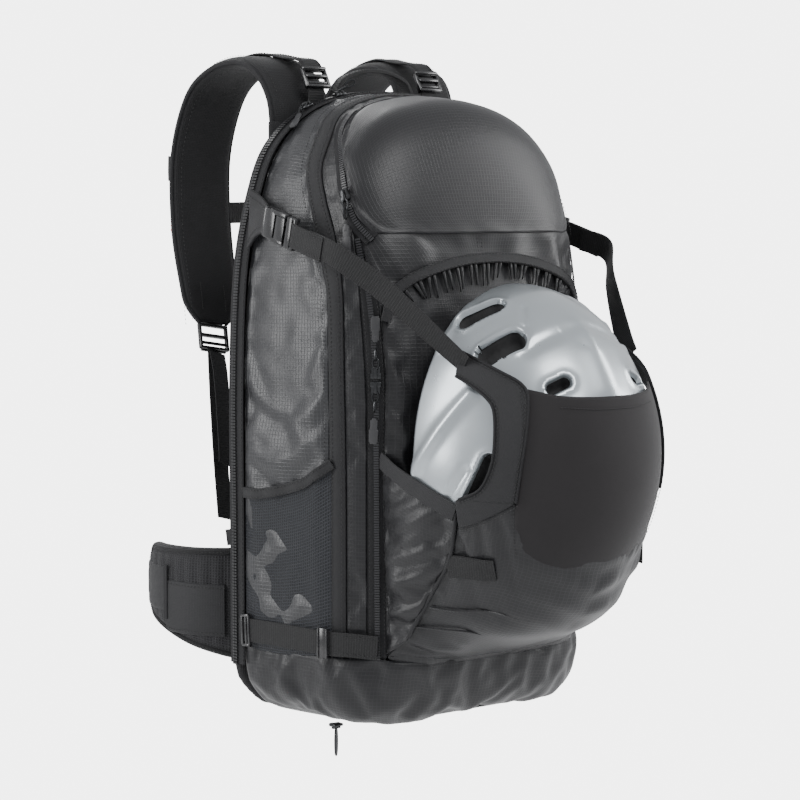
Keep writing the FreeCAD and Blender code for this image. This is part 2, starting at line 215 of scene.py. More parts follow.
def smooth_line(points, step=0.005, count=None):
    """Even steps along a smooth curve through points given in millimetres."""
    knots = [Vector(p) * MM for p in points]
    knots = [knots[0] * 2 - knots[1]] + knots + [knots[-1] * 2 - knots[-2]]
    fine = []
    for p0, p1, p2, p3 in zip(knots, knots[1:], knots[2:], knots[3:]):
        for k in range(12):
            t = k / 12
            fine.append(0.5 * (
                2 * p1 + (p2 - p0) * t + (2 * p0 - 5 * p1 + 4 * p2 - p3) * t * t
                + (3 * p1 - p0 - 3 * p2 + p3) * t * t * t
            ))
    fine.append(knots[-2])
    return even(fine, step, count)


def even(line, step=0.005, count=None):
    """The same line with evenly spaced points."""
    along = [0.0]
    for a, b in zip(line, line[1:]):
        along.append(along[-1] + (b - a).length)
    count = count or max(2, round(along[-1] / step) + 1)
    result = []
    k = 0
    for i in range(count):
        want = along[-1] * i / (count - 1)
        while k < len(line) - 2 and along[k + 1] < want:
            k += 1
        span = along[k + 1] - along[k]
        result.append(line[k].lerp(line[k + 1], (want - along[k]) / span if span else 0))
    return result


def mirror_points(points):
    return [(-x, y, z) for x, y, z in points]


def sheet_mesh(name, rows, outward):
    """Grid mesh from rows of points, with a weave map in metres and its outer seams in a group."""
    across = len(rows[0])
    vertices = [p for row in rows for p in row]
    faces = []
    for i in range(len(rows) - 1):
        for j in range(across - 1):
            a = i * across + j
            faces.append((a, a + 1, a + across + 1, a + across))
    i, j = len(rows) // 2, across // 2
    normal = (rows[i][j] - rows[i - 1][j]).cross(rows[i][j - 1] - rows[i][j])
    if normal.dot(outward) < 0:
        faces = [f[::-1] for f in faces]
    mesh = bpy.data.meshes.new(name)
    mesh.from_pydata(vertices, [], faces)
    weave = mesh.uv_layers.new(name="weave")
    u = [0.0]
    for row_a, row_b in zip(rows, rows[1:]):
        u.append(u[-1] + (row_b[across // 2] - row_a[across // 2]).length)
    widest = max(rows, key=lambda row: (row[-1] - row[0]).length)
    v = [0.0]
    for a, b in zip(widest, widest[1:]):
        v.append(v[-1] + (b - a).length)
    for loop in mesh.loops:
        weave.data[loop.index].uv = (u[loop.vertex_index // across], v[loop.vertex_index % across])
    piece = bpy.data.objects.new(name, mesh)
    bpy.context.scene.collection.objects.link(piece)
    sewn = piece.vertex_groups.new(name="sewn")
    border = [
        k for k in range(len(vertices))
        if k % across in (0, across - 1) or k // across in (0, len(rows) - 1)
    ]
    sewn.add(border, 1.0, "REPLACE")
    for polygon in mesh.polygons:
        polygon.use_smooth = True
    return piece


def panel(name, edge_a, edge_b, lift=0.0, puff=0.0, step=SEAM_STEP, across=None, crease=0.0):
    """Sewn panel of the bag between two seams given in millimetres, laid on the bag's form."""
    line_a = smooth_line(edge_a, step)
    line_b = smooth_line(edge_b, count=len(line_a))
    width = max((a - b).length for a, b in zip(line_a, line_b))
    across = across or max(3, round(width / step) + 1)
    rows = []
    outward = None
    for i, (a, b) in enumerate(zip(line_a, line_b)):
        row = []
        for j in range(across):
            t = j / (across - 1)
            edge = min(t, 1 - t) * width
            end = min(i, len(line_a) - 1 - i) * step
            swell = puff * (1 - math.exp(-edge / 0.012)) * (1 - math.exp(-end / 0.012))
            place, normal = on_form(a.lerp(b, t), lift)
            ripple = crease * noise.noise(place * 60) if 0 < j < across - 1 else 0
            row.append(place + normal * (swell + ripple))
            if i == len(line_a) // 2 and j == across // 2:
                outward = normal
        rows.append(row)
    return sheet_mesh(name, rows, outward)


def settle(piece, slack, frames=22, cap=0.0035, gravity=0.4):
    """Lets a sewn panel's cloth, cut fuller than its place, ripple between its seams."""
    rest = [v.co.copy() for v in piece.data.vertices]
    cloth = piece.modifiers.new("cloth", "CLOTH")
    settings = cloth.settings
    settings.quality = 6
    settings.mass = 0.12
    settings.tension_stiffness = 20
    settings.compression_stiffness = 20
    settings.shear_stiffness = 8
    settings.bending_stiffness = 0.25
    settings.vertex_group_mass = "sewn"
    settings.shrink_min = -slack
    settings.effector_weights.gravity = gravity
    cloth.collision_settings.use_collision = False
    for step in range(1, frames + 1):
        bpy.context.scene.frame_set(step)
    shaped = piece.evaluated_get(bpy.context.evaluated_depsgraph_get()).data
    places = [v.co.copy() for v in shaped.vertices]
    piece.modifiers.remove(cloth)
    bpy.context.scene.frame_set(1)
    for vertex, start, place in zip(piece.data.vertices, rest, places):
        move = place - start
        if move.length > cap:
            move *= cap / move.length
        vertex.co = start + move


def finish_cloth(piece, material, body, thick=CLOTH_THICK, levels=1):
    """Gives a panel its material, its thickness and a finer surface, and lets it ride on its body."""
    piece.data.materials.append(material)
    if levels:
        finer = piece.modifiers.new("finer", "SUBSURF")
        finer.levels = levels
        finer.render_levels = levels
    wall = piece.modifiers.new("thickness", "SOLIDIFY")
    wall.thickness = thick
    wall.offset = -1
    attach(piece, body)
    return piece


PATCHES = 0.1


def textile(name, colour, rough, thread=0.0, cross=0.0, line=0.0, sheen=0.0, grain=0.0, relief=0.35,
            gloss=0.28, plan=False):
    """Woven cloth: thread and cross are the pitches of its ribs in metres, on the weave map or in plan."""
    material = bpy.data.materials.new(name)
    material.use_nodes = True
    tree = material.node_tree
    shader = tree.nodes["Principled BSDF"]
    shader.inputs["Roughness"].default_value = rough
    shader.inputs["Sheen Weight"].default_value = sheen
    shader.inputs["Sheen Roughness"].default_value = 0.4
    shader.inputs["Specular IOR Level"].default_value = gloss
    place = tree.nodes.new("ShaderNodeUVMap")
    place.uv_map = "weave"
    weave = place.outputs["UV"]
    solid_place = tree.nodes.new("ShaderNodeTexCoord")
    if plan:
        apart = tree.nodes.new("ShaderNodeSeparateXYZ")
        level = tree.nodes.new("ShaderNodeCombineXYZ")
        tree.links.new(solid_place.outputs["Object"], apart.inputs["Vector"])
        tree.links.new(apart.outputs["X"], level.inputs["X"])
        tree.links.new(apart.outputs["Z"], level.inputs["Y"])
        weave = level.outputs["Vector"]
    height = None
    lines = []
    for pitch, direction in ((thread, "X"), (cross, "Y")):
        if not pitch:
            continue
        wave = tree.nodes.new("ShaderNodeTexWave")
        wave.bands_direction = direction
        wave.inputs["Scale"].default_value = math.pi / (10 * pitch)
        wave.inputs["Distortion"].default_value = 0.0
        tree.links.new(weave, wave.inputs["Vector"])
        shape = tree.nodes.new("ShaderNodeMapRange")
        shape.inputs["From Min"].default_value = line
        tree.links.new(wave.outputs["Fac"], shape.inputs["Value"])
        lines.append(shape.outputs["Result"])
    if len(lines) == 2:
        both = tree.nodes.new("ShaderNodeMath")
        both.operation = "MAXIMUM"
        tree.links.new(lines[0], both.inputs[0])
        tree.links.new(lines[1], both.inputs[1])
        height = both.outputs[0]
    elif lines:
        height = lines[0]
    fibre = tree.nodes.new("ShaderNodeTexNoise")
    fibre.inputs["Scale"].default_value = 900
    fibre.inputs["Detail"].default_value = 3
    tree.links.new(solid_place.outputs["Object"], fibre.inputs["Vector"])
    cloud = tree.nodes.new("ShaderNodeTexNoise")
    cloud.inputs["Scale"].default_value = 22
    cloud.inputs["Detail"].default_value = 4
    tree.links.new(solid_place.outputs["Object"], cloud.inputs["Vector"])
    base = tree.nodes.new("ShaderNodeMix")
    base.data_type = "RGBA"
    base.inputs["A"].default_value = (*[c * (1 - PATCHES) for c in colour], 1)
    base.inputs["B"].default_value = (*[c * (1 + PATCHES) for c in colour], 1)
    tree.links.new(cloud.outputs["Fac"], base.inputs["Factor"])
    tint = base.outputs["Result"]
    if height:
        ribbed = tree.nodes.new("ShaderNodeMix")
        ribbed.data_type = "RGBA"
        ribbed.blend_type = "MULTIPLY"
        ribbed.inputs["Factor"].default_value = 1.0
        shade = tree.nodes.new("ShaderNodeMapRange")
        shade.inputs["To Min"].default_value = 1 - grain * 0.5
        shade.inputs["To Max"].default_value = 1 + grain
        tree.links.new(height, shade.inputs["Value"])
        tree.links.new(tint, ribbed.inputs["A"])
        tree.links.new(shade.outputs["Result"], ribbed.inputs["B"])
        tint = ribbed.outputs["Result"]
    tree.links.new(tint, shader.inputs["Base Color"])
    bump = tree.nodes.new("ShaderNodeBump")
    bump.inputs["Strength"].default_value = relief * 0.5
    bump.inputs["Distance"].default_value = 0.0006
    tree.links.new(fibre.outputs["Fac"], bump.inputs["Height"])
    last = bump
    if height:
        ribs = tree.nodes.new("ShaderNodeBump")
        ribs.inputs["Strength"].default_value = relief
        ribs.inputs["Distance"].default_value = 0.0005
        tree.links.new(height, ribs.inputs["Height"])
        tree.links.new(bump.outputs["Normal"], ribs.inputs["Normal"])
        last = ribs
    tree.links.new(last.outputs["Normal"], shader.inputs["Normal"])
    return material


RIM = [
    (-151, -42), (-151, 60), (-151, 180), (-146, 275), (-131, 342), (-113, 380), (-80, 407), (-40, 420),
    (0, 424),
]
side_rear = [(x, -35, z) for x, z in RIM]
side_front = [
    (-131, -131, -42), (-131, -131, 40), (-131, -131, 170), (-130, -127, 251), (-127, -110, 299),
    (-123, -93, 332), (-117, -80, 357), (-101, -70, 384), (-75, -56, 406), (-40, -50, 419), (0, -48, 423),
]
# Painted highlight: the black ripstop's weave with about twice its base colour, standing in for the bright
# light on the side panels' folds.
ripstop_painted_highlight = textile(
    "ripstop_painted_highlight", (0.020, 0.0205, 0.0225), 0.36, 0.0032, 0.0032, 0.86, grain=0.3, sheen=0.05, gloss=0.45,
)
for side, flip in (("left", lambda p: p), ("right", mirror_points)):
    piece = panel("side_panel_" + side, flip(side_rear), flip(side_front), puff=0.004, crease=0.0012)
    settle(piece, 0.022, cap=0.0028)
    finish_cloth(piece, ripstop_painted_highlight, "main_bag")
    if side == "left":
        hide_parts("main_compartment")


# Side zips: a covered band beside each side panel.
# Its storm flap hides the teeth, so only the flap and its edge show.
band_front = [
    (-125, -144, -42), (-125, -144, 88), (-125, -143, 170), (-124, -140, 251), (-123, -128, 300),
    (-120, -111, 332), (-114, -97, 357), (-99, -88, 384), (-75, -72, 405), (-40, -64, 417), (0, -62, 421),
]
band_cloth = textile(
    "zip_band_cloth", (0.010, 0.010, 0.011), 0.62, 0.0011, 0.0011, 0.2, grain=0.25, sheen=0.05,
)
for side, flip in (("left", lambda p: p), ("right", mirror_points)):
    piece = panel("side_zip_band_" + side, flip(side_front), flip(band_front), 0.0012, 0.0018, across=7)
    finish_cloth(piece, band_cloth, "main_bag", thick=0.002)


# Inner side panels: black ripstop from the side zip to the front zip and over the top to the top pocket.
# It is narrow and lies loose between the two zips.
inner_front = [
    (-115, -158, -42), (-115, -158, 130), (-115, -157, 191), (-116, -151, 255), (-114, -140, 312),
    (-113, -130, 334), (-106, -113, 366), (-84, -88, 396), (-50, -76, 412), (0, -72, 417),
]
black_ripstop = textile(
    "black_ripstop", (0.0105, 0.0105, 0.0118), 0.4, 0.0032, 0.0032, 0.86, grain=0.3, relief=0.22,
    sheen=0.03, gloss=0.35,
)
for side, flip in (("left", lambda p: p), ("right", mirror_points)):
    piece = panel("inner_side_panel_" + side, flip(band_front), flip(inner_front), puff=0.0015, across=8)
    settle(piece, 0.02, cap=0.003)
    finish_cloth(piece, black_ripstop, "main_bag")


# Front panel: one wide black panel under the helmet, from front zip to front zip.
# Its lower half is hidden behind the helmet and the sling.
front_left = [
    (-103, -171, -42), (-104, -170, 48), (-105, -169, 130), (-104, -169, 191), (-106, -163, 252),
    (-112, -152, 285), (-114, -141, 308),
]
piece = panel("front_panel", front_left, mirror_points(front_left), puff=0.003, step=0.006, crease=0.0015)
settle(piece, 0.02, cap=0.005)
finish_cloth(piece, black_ripstop, "main_bag")
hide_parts("front_compartment")


# Front zips: a toothed tape down each front corner.
# They open the front compartment from the top pocket down.
tape_cloth = textile("zip_tape", (0.008, 0.008, 0.009), 0.7, 0.0012, 0.0009, 0.3, grain=0.3)
for side, flip in (("left", lambda p: p), ("right", mirror_points)):
    piece = panel(
        "front_zip_tape_" + side, flip(inner_front[:5]), flip(
            front_left[:4] + front_left[4:]
        ), -0.0008, across=7
    )
    finish_cloth(piece, tape_cloth, "main_bag")
    if side == "left":
        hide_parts("pocket_zip_tapes")


# Top pocket: a smooth domed panel that stands a little proud of the bag.
# Its seam is straight along the bottom and rounded at the lower corners.
pocket_left = [
    (-104, -154, 305), (-111, -142, 318), (-111, -131, 340), (-104, -115, 366), (-82, -92, 394),
    (-50, -80, 411),
]
piece = panel("top_pocket_panel", pocket_left, mirror_points(pocket_left), 0.0015, 0.0035, step=0.006)
settle(piece, 0.008, cap=0.003)
finish_cloth(piece, black_ripstop, "main_bag")
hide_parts("top_pocket")


# Base: a gathered panel all round from the lower seam to the rain-cover zip, and the flat underside.
# The rain cover is stowed behind it.
seam_half = [
    (-151, -31, -41), (-147, -54, -42), (-138, -98, -42), (-125, -143, -42), (-104, -169, -43),
    (-72, -186, -44), (-30, -190, -45), (0, -190, -45),
]
foot_half = [
    (-118, -31, -103), (-119, -50, -102), (-117, -82, -102), (-107, -118, -102), (-84, -141, -102),
    (-42, -151, -100), (0, -157, -97),
]
seam_all = seam_half + mirror_points(seam_half[:-1])[::-1]
foot_all = foot_half + mirror_points(foot_half[:-1])[::-1]
piece = panel("base_panel", seam_all, foot_all, puff=0.004, crease=0.002)
settle(piece, 0.05, cap=0.008)
finish_cloth(piece, black_ripstop, "main_bag")
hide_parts("base_pocket")
piece = panel("underside", foot_half[:-1], mirror_points(foot_half[:-1]), step=0.008)
finish_cloth(piece, black_ripstop, "main_bag")


# Seams: topstitching along the panels' edges. Every seam adds its places to its body's list, and the
# stitches of one body are made together once the whole pack is sewn.
SEAM_PITCH = 0.0036
seams = {}


def along_form(points, lift=0.0, step=0.005):
    """Even places on the bag's form: each a place, the direction along and the direction out."""
    line = even([on_form(p)[0] for p in smooth_line(points, step)], step)
    return directed(line, [on_form(p)[1] for p in line], lift)


def along_free(points, side, step=0.005):
    """Even places along a free strap whose width lies along side."""
    line = smooth_line(points, step)
    sides = side if isinstance(side, list) else [side]
    outs = []
    for i in range(len(line)):
        t = i / (len(line) - 1) * (len(sides) - 1)
        k = min(int(t), max(len(sides) - 2, 0))
        across = sides[k].lerp(sides[min(k + 1, len(sides) - 1)], t - k)
        along = line[min(i + 1, len(line) - 1)] - line[max(i - 1, 0)]
        outs.append(along.cross(across))
    return directed(line, outs)


def directed(line, outs, lift=0.0):
    frames = []
    for i, (place, out) in enumerate(zip(line, outs)):
        along = (line[min(i + 1, len(line) - 1)] - line[max(i - 1, 0)]).normalized()
        out = (out - along * out.dot(along)).normalized()
        frames.append((place + out * lift, along, out))
    return frames


def shifted(frames, across, out=0.0):
    """The same places moved sideways and outwards."""
    return [(p + o.cross(a) * across + o * out, a, o) for p, a, o in frames]


def sew(body, frames, across=0.0, lift=0.0004, pitch=SEAM_PITCH):
    """Adds a row of stitches beside a line, resting on the surface."""
    line = even([p for p, _, _ in shifted(frames, across, lift)], pitch)
    outs = []
    for p in line:
        nearest = min(frames, key=lambda f: (f[0] - p).length_squared)
        outs.append(nearest[2])
    seams.setdefault(body, []).extend(directed(line, outs))


def swept(name, frames, profile, material, body, sharp=40, levels=0):
    """Closed strip along a line. Its profile is (across, out) pairs, or gives them for a share of the way."""
    rows = []
    u = [0.0]
    for k, (place, along, out) in enumerate(frames):
        side = out.cross(along)
        shape = profile(k / (len(frames) - 1)) if callable(profile) else profile
        rows.append([place + side * a + out * b for a, b in shape])
        if k:
            u.append(u[-1] + (place - frames[k - 1][0]).length)
    count = len(rows[0])
    v = [0.0]
    for a, b in zip(rows[0], rows[0][1:] + rows[0][:1]):
        v.append(v[-1] + (b - a).length)
    faces = []
    for i in range(len(rows) - 1):
        for j in range(count):
            k = (j + 1) % count
            faces.append((i * count + j, i * count + k, (i + 1) * count + k, (i + 1) * count + j))
    sides = len(faces)
    faces.append(tuple(range(count)))
    faces.append(tuple(range((len(rows) - 1) * count, len(rows) * count)))
    mesh = bpy.data.meshes.new(name)
    mesh.from_pydata([p for row in rows for p in row], [], faces)
    weave = mesh.uv_layers.new(name="weave")
    for polygon in mesh.polygons:
        last = polygon.index < sides and polygon.index % count == count - 1
        for loop in polygon.loop_indices:
            vertex = mesh.loops[loop].vertex_index
            j = vertex % count
            weave.data[loop].uv = (u[vertex // count], v[count if last and j == 0 else j])
    bm = bmesh.new()
    bm.from_mesh(mesh)
    bmesh.ops.recalc_face_normals(bm, faces=bm.faces)
    bm.to_mesh(mesh)
    bm.free()
    for polygon in mesh.polygons:
        polygon.use_smooth = True
    mesh.set_sharp_from_angle(angle=math.radians(sharp))
    piece = bpy.data.objects.new(name, mesh)
    bpy.context.scene.collection.objects.link(piece)
    mesh.materials.append(material)
    if levels:
        finer = piece.modifiers.new("finer", "SUBSURF")
        finer.levels = levels
        finer.render_levels = levels
    if body:
        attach(piece, body)
    return piece


def flat(width, thick, low=0.0):
    """Profile of webbing or tape, lying on its line or lifted by low, with eased edges."""
    h = width / 2
    e = min(thick * 0.35, 0.0006)
    top = low + thick
    return [
        (-h, low + e), (-h, top - e), (-h + e, top), (0, top), (h - e, top), (h, top - e),
        (h, low + e), (h - e, low), (0, low), (-h + e, low),
    ]


def round_cord(radius, count=8, flatness=1.0):
    turn = [2 * math.pi * k / count for k in range(count)]
    return [(radius * math.cos(a), radius * flatness * math.sin(a)) for a in turn]


def unit_tree():
    """Geometry nodes that put one small block at each place of a row, turned along the row."""
    tree = bpy.data.node_groups.new("row_of_units", "GeometryNodeTree")
    face = tree.interface
    face.new_socket("Places", in_out="INPUT", socket_type="NodeSocketGeometry")
    for size in ("Length", "Width", "Height"):
        face.new_socket(size, in_out="INPUT", socket_type="NodeSocketFloat")
    face.new_socket("Rounding", in_out="INPUT", socket_type="NodeSocketInt")
    face.new_socket("Material", in_out="INPUT", socket_type="NodeSocketMaterial")
    face.new_socket("Units", in_out="OUTPUT", socket_type="NodeSocketGeometry")
    given = tree.nodes.new("NodeGroupInput")
    result = tree.nodes.new("NodeGroupOutput")
    size = tree.nodes.new("ShaderNodeCombineXYZ")
    block = tree.nodes.new("GeometryNodeMeshCube")
    rounded = tree.nodes.new("GeometryNodeSubdivisionSurface")
    turn = tree.nodes.new("FunctionNodeAxesToRotation")
    turn.primary_axis = "Z"
    turn.secondary_axis = "X"
    put = tree.nodes.new("GeometryNodeInstanceOnPoints")
    real = tree.nodes.new("GeometryNodeRealizeInstances")
    look = tree.nodes.new("GeometryNodeSetMaterial")
    link = tree.links.new
    for axis, name in zip("XYZ", ("Length", "Width", "Height")):
        link(given.outputs[name], size.inputs[axis])
    link(size.outputs["Vector"], block.inputs["Size"])
    link(block.outputs["Mesh"], rounded.inputs["Mesh"])
    link(given.outputs["Rounding"], rounded.inputs["Level"])
    for name, socket in (("out", turn.inputs[0]), ("along", turn.inputs[1])):
        read = tree.nodes.new("GeometryNodeInputNamedAttribute")
        read.data_type = "FLOAT_VECTOR"
        read.inputs["Name"].default_value = name
        link(read.outputs["Attribute"], socket)
    link(given.outputs["Places"], put.inputs["Points"])
    link(rounded.outputs["Mesh"], put.inputs["Instance"])
    link(turn.outputs["Rotation"], put.inputs["Rotation"])
    link(put.outputs["Instances"], real.inputs["Geometry"])
    link(real.outputs["Geometry"], look.inputs["Geometry"])
    link(given.outputs["Material"], look.inputs["Material"])
    link(look.outputs["Geometry"], result.inputs["Units"])
    return tree


units = unit_tree()


def row_of_units(name, frames, size, material, body, rounding=0):
    """One piece made of a small block at every place: zip teeth, stitches or ribs."""
    mesh = bpy.data.meshes.new(name + "_places")
    mesh.from_pydata([p for p, _, _ in frames], [], [])
    for attribute, k in (("along", 1), ("out", 2)):
        values = mesh.attributes.new(attribute, "FLOAT_VECTOR", "POINT")
        for place, f in zip(values.data, frames):
            place.vector = f[k]
    carrier = bpy.data.objects.new(name + "_places", mesh)
    bpy.context.scene.collection.objects.link(carrier)
    made = carrier.modifiers.new("units", "NODES")
    made.node_group = units
    values = {
        "Length": size[0], "Width": size[1], "Height": size[2], "Rounding": rounding, "Material": material,
    }
    for item in units.interface.items_tree:
        if item.name in values:
            made[item.identifier] = values[item.name]
    shaped = carrier.evaluated_get(bpy.context.evaluated_depsgraph_get())
    result = bpy.data.meshes.new_from_object(shaped)
    result.name = name
    carrier.modifiers.remove(made)
    bpy.data.objects.remove(carrier)
    piece = bpy.data.objects.new(name, result)
    bpy.context.scene.collection.objects.link(piece)
    for polygon in result.polygons:
        polygon.use_smooth = rounding > 0
    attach(piece, body)
    return piece


def moulded(name, colour, rough, coat=0.0, grain=0.15, metallic=0.0, scale=420, relief=0.12):
    """Moulded plastic or coated metal: an even colour with a fine grain and slightly uneven gloss."""
    material = bpy.data.materials.new(name)
    material.use_nodes = True
    tree = material.node_tree
    shader = tree.nodes["Principled BSDF"]
    shader.inputs["Metallic"].default_value = metallic
    shader.inputs["Coat Weight"].default_value = coat
    shader.inputs["Coat Roughness"].default_value = 0.12
    place = tree.nodes.new("ShaderNodeTexCoord")
    speck = tree.nodes.new("ShaderNodeTexNoise")
    speck.inputs["Scale"].default_value = scale
    speck.inputs["Detail"].default_value = 4
    cloud = tree.nodes.new("ShaderNodeTexNoise")
    cloud.inputs["Scale"].default_value = 35
    tree.links.new(place.outputs["Object"], speck.inputs["Vector"])
    tree.links.new(place.outputs["Object"], cloud.inputs["Vector"])
    tint = tree.nodes.new("ShaderNodeMix")
    tint.data_type = "RGBA"
    tint.inputs["A"].default_value = (*[c * (1 - grain) for c in colour], 1)
    tint.inputs["B"].default_value = (*[min(1, c * (1 + grain)) for c in colour], 1)
    tree.links.new(cloud.outputs["Fac"], tint.inputs["Factor"])
    tree.links.new(tint.outputs["Result"], shader.inputs["Base Color"])
    gloss = tree.nodes.new("ShaderNodeMapRange")
    gloss.inputs["To Min"].default_value = max(0.02, rough - 0.06)
    gloss.inputs["To Max"].default_value = rough + 0.06
    tree.links.new(speck.outputs["Fac"], gloss.inputs["Value"])
    tree.links.new(gloss.outputs["Result"], shader.inputs["Roughness"])
    bump = tree.nodes.new("ShaderNodeBump")
    bump.inputs["Strength"].default_value = relief
    bump.inputs["Distance"].default_value = 0.0003
    tree.links.new(speck.outputs["Fac"], bump.inputs["Height"])
    tree.links.new(bump.outputs["Normal"], shader.inputs["Normal"])
    return material


for flip in (lambda p: p, mirror_points):
    for seam, across in (
        (side_front, 0.0045), (side_front, -0.003), (band_front, 0.003), (band_front, -0.004),
    ):
        sew("main_bag", along_form(flip(seam), 0.0018), across)
for across in (-0.004,):
    for flip in (lambda p: p, mirror_points):
        sew("main_bag", along_form(flip(pocket_left), 0.004), across)


# Main zip: two toothed tapes around the mouth, one sewn to the bag and one to the back panel, with
# coarse interlocking coil teeth that stand a little proud of the fabric.
ZIP_PLANE = -0.0251
TOOTH_PITCH = 0.0026
zip_half = [(x, z) for x, z in RIM]
zip_half = [(-151, -62)] + zip_half[1:]
rim_line = [(x * 1.004, ZIP_PLANE / MM, z) for x, z in zip_half]
rim_line = rim_line + mirror_points(rim_line[:-1])[::-1]


def turned(frames, at, way):
    """The frames with their outward directions on the side of way, judged at one of them."""
    if frames[at][2].dot(way) < 0:
        return [(p, a, -o) for p, a, o in frames]
    return frames


def around_rim(y, grow, step):
    """Places around the mouth at one depth, facing outwards from the bag's middle."""
    line = smooth_line([(x, y / MM, z) for x, _, z in rim_line], step)
    outs = []
    for i, p in enumerate(line):
        along = line[min(i + 1, len(line) - 1)] - line[max(i - 1, 0)]
        outs.append(Vector((0, -1, 0)).cross(along))
    frames = directed(line, outs)
    frames = turned(frames, 0, Vector((-1, 0, 0)))
    return [(p + o * grow, a, o) for p, a, o in frames]


zip_plastic = moulded("zip_teeth", (0.012, 0.012, 0.013), 0.34)
swept("main_zip_bag_tape", around_rim(ZIP_PLANE - 0.0062, 0.0002, 0.006), flat(0.0112, 0.0016), tape_cloth,
      "main_bag")
swept("main_zip_panel_tape", around_rim(ZIP_PLANE + 0.0046, 0.0002, 0.006), flat(0.0084, 0.0016), tape_cloth,
      "back_panel")
piece = row_of_units(
    "main_zip_bag_teeth", around_rim(ZIP_PLANE - 0.0014, 0.0022, TOOTH_PITCH), (0.0017, 0.0034, 0.0022),
    zip_plastic, "main_bag",
)
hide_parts("main_zip_bag_half")
piece = row_of_units(
    "main_zip_panel_teeth", around_rim(ZIP_PLANE + 0.0014, 0.0022, TOOTH_PITCH), (0.0017, 0.0034, 0.0022),
    zip_plastic, "back_panel",
)
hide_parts("main_zip_panel_half")
sew("main_bag", around_rim(ZIP_PLANE - 0.0105, 0.0018, 0.006))


# Front zips' teeth: a fine coil down each front corner and around the top pocket's left side.
# The coil is finer than the main zip's.
coil_plastic = moulded("coil_teeth", (0.016, 0.016, 0.018), 0.38)
coil_line = [
    (-109, -165.5, -42), (-110, -165.5, 48), (-110, -165, 130), (-110, -164.5, 191), (-111, -158, 252),
    (-113.5, -146, 300),
]
COIL_PITCH = 0.0021
for side, flip in (("left", lambda p: p), ("right", mirror_points)):
    frames = along_form(flip(coil_line), 0.0016, COIL_PITCH)
    row_of_units(
        "front_zip_teeth_" + side, frames, (0.0014, 0.0042, 0.0016), coil_plastic, "main_bag", 0,
    )
    for across in (-0.006, 0.006):
        sew("main_bag", along_form(flip(coil_line), 0.0014), across)
pocket_zip = [
    (-70, -84, 401), (-91, -97, 385), (-106, -116, 365), (-114, -131, 338), (-114, -142, 316),
    (-108, -155, 300),
]
swept("top_pocket_zip_tape", along_form(pocket_zip, 0.0), flat(0.014, 0.0016), tape_cloth, "main_bag")
row_of_units(
    "top_pocket_zip_teeth", along_form(
        pocket_zip, 0.0022, COIL_PITCH,
    ), (0.0014, 0.0042, 0.0016), coil_plastic,
    "main_bag", 0,
)


# Helmet: a satin silver in-moulded shell with vents and soft creases, carried with its opening
# towards the bag. Charcoal foam beads show in the vents.
shell_low, shell_high = (Vector(corner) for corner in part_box("helmet_shell"))
HELMET = Vector((0, shell_high.y, (shell_low.z + shell_high.z) / 2))
HELMET_RADII = Vector((shell_high.x, HELMET.y - shell_low.y, (shell_high.z - shell_low.z) / 2))
SHELL_GRID = 116
LINER_GRID = 84
VENT_LIP = 0.0035
VENT_DEPTH = 0.011
vents = [
    ((-62, -223, 236), (-46, -236, 248), 10.5), ((-71, -259, 210), (-55, -271, 223), 11.5),
    ((-46, -307, 186), (-36, -311, 191), 6.5), ((-92, -266, 98), (-88, -281, 128), 8.5),
    ((-72, -250, 40), (-58, -268, 30), 8.0),
]
vents += [((-a[0], a[1], a[2]), (-b[0], b[1], b[2]), r) for a, b, r in vents]
# Creases and ridges: ends of the line, how wide and how deep it is (a ridge is negative).
creases = [
    ((-32, -256, 246), (-42, -270, 233), 3.0, 1.6), ((-42, -270, 233), (-52, -281, 218), 4.0, 2.6),
    ((-52, -283, 216), (-22, -290, 229), 6.0, 2.0), ((-22, -290, 229), (0, -289, 234), 6.0, 1.6),
    ((0, -289, 234), (0, -307, 213), 9.0, -2.4), ((0, -307, 213), (0, -322, 186), 12.0, -2.2),
    ((-105, -206, 112), (-102, -237, 152), 6.0, -3.2), ((-102, -237, 152), (-88, -258, 180), 6.0, -3.0),
    ((-96, -262, 120), (-102, -235, 84), 4.0, 1.8), ((-80, -212, 214), (-50, -212, 244), 5.0, -1.6),
]
creases += [((-a[0], a[1], a[2]), (-b[0], b[1], b[2]), w, d) for a, b, w, d in creases]


def on_helmet(point, lift=0.0):
    """The place on the helmet's shell beyond a point, and the outward direction there."""
    d = Vector([(point[i] - HELMET[i]) / HELMET_RADII[i] for i in range(3)]).normalized()
    place = Vector([HELMET[i] + d[i] * HELMET_RADII[i] for i in range(3)])
    out = Vector([d[i] / HELMET_RADII[i] for i in range(3)]).normalized()
    return place + out * lift, out


def from_line(point, a, b):
    """Distance from a point to a short straight line, and the way towards the point."""
    span = b - a
    t = min(max((point - a).dot(span) / span.length_squared, 0), 1)
    away = point - (a + span * t)
    return away.length, away


vent_lines = [(on_helmet(Vector(a) * MM)[0], on_helmet(Vector(b) * MM)[0], r * MM) for a, b, r in vents]
crease_lines = [
    (on_helmet(Vector(a) * MM)[0], on_helmet(Vector(b) * MM)[0], w * MM, d * MM) for a, b, w, d in creases
]


def half_ball(grid):
    """Evenly divided front half of a ball, as a bmesh."""
    ball = bmesh.new()
    bmesh.ops.create_cube(ball, size=2)
    bmesh.ops.subdivide_edges(ball, edges=ball.edges[:], cuts=grid - 1, use_grid_fill=True)
    for vertex in ball.verts:
        vertex.co = Vector([math.tan(c * math.pi / 4) for c in vertex.co]).normalized()
    behind = [f for f in ball.faces if f.calc_center_median().y > 0]
    bmesh.ops.delete(ball, geom=behind, context="FACES")
    return ball


def on_vent(place):
    """How far a place lies outside the nearest vent, and the way out of it."""
    best, way = 1.0, Vector((0, 0, 1))
    for a, b, r in vent_lines:
        if (place - a).length_squared < 0.004:
            distance, away = from_line(place, a, b)
            if distance - r < best:
                best, way = distance - r, away
    return best, way


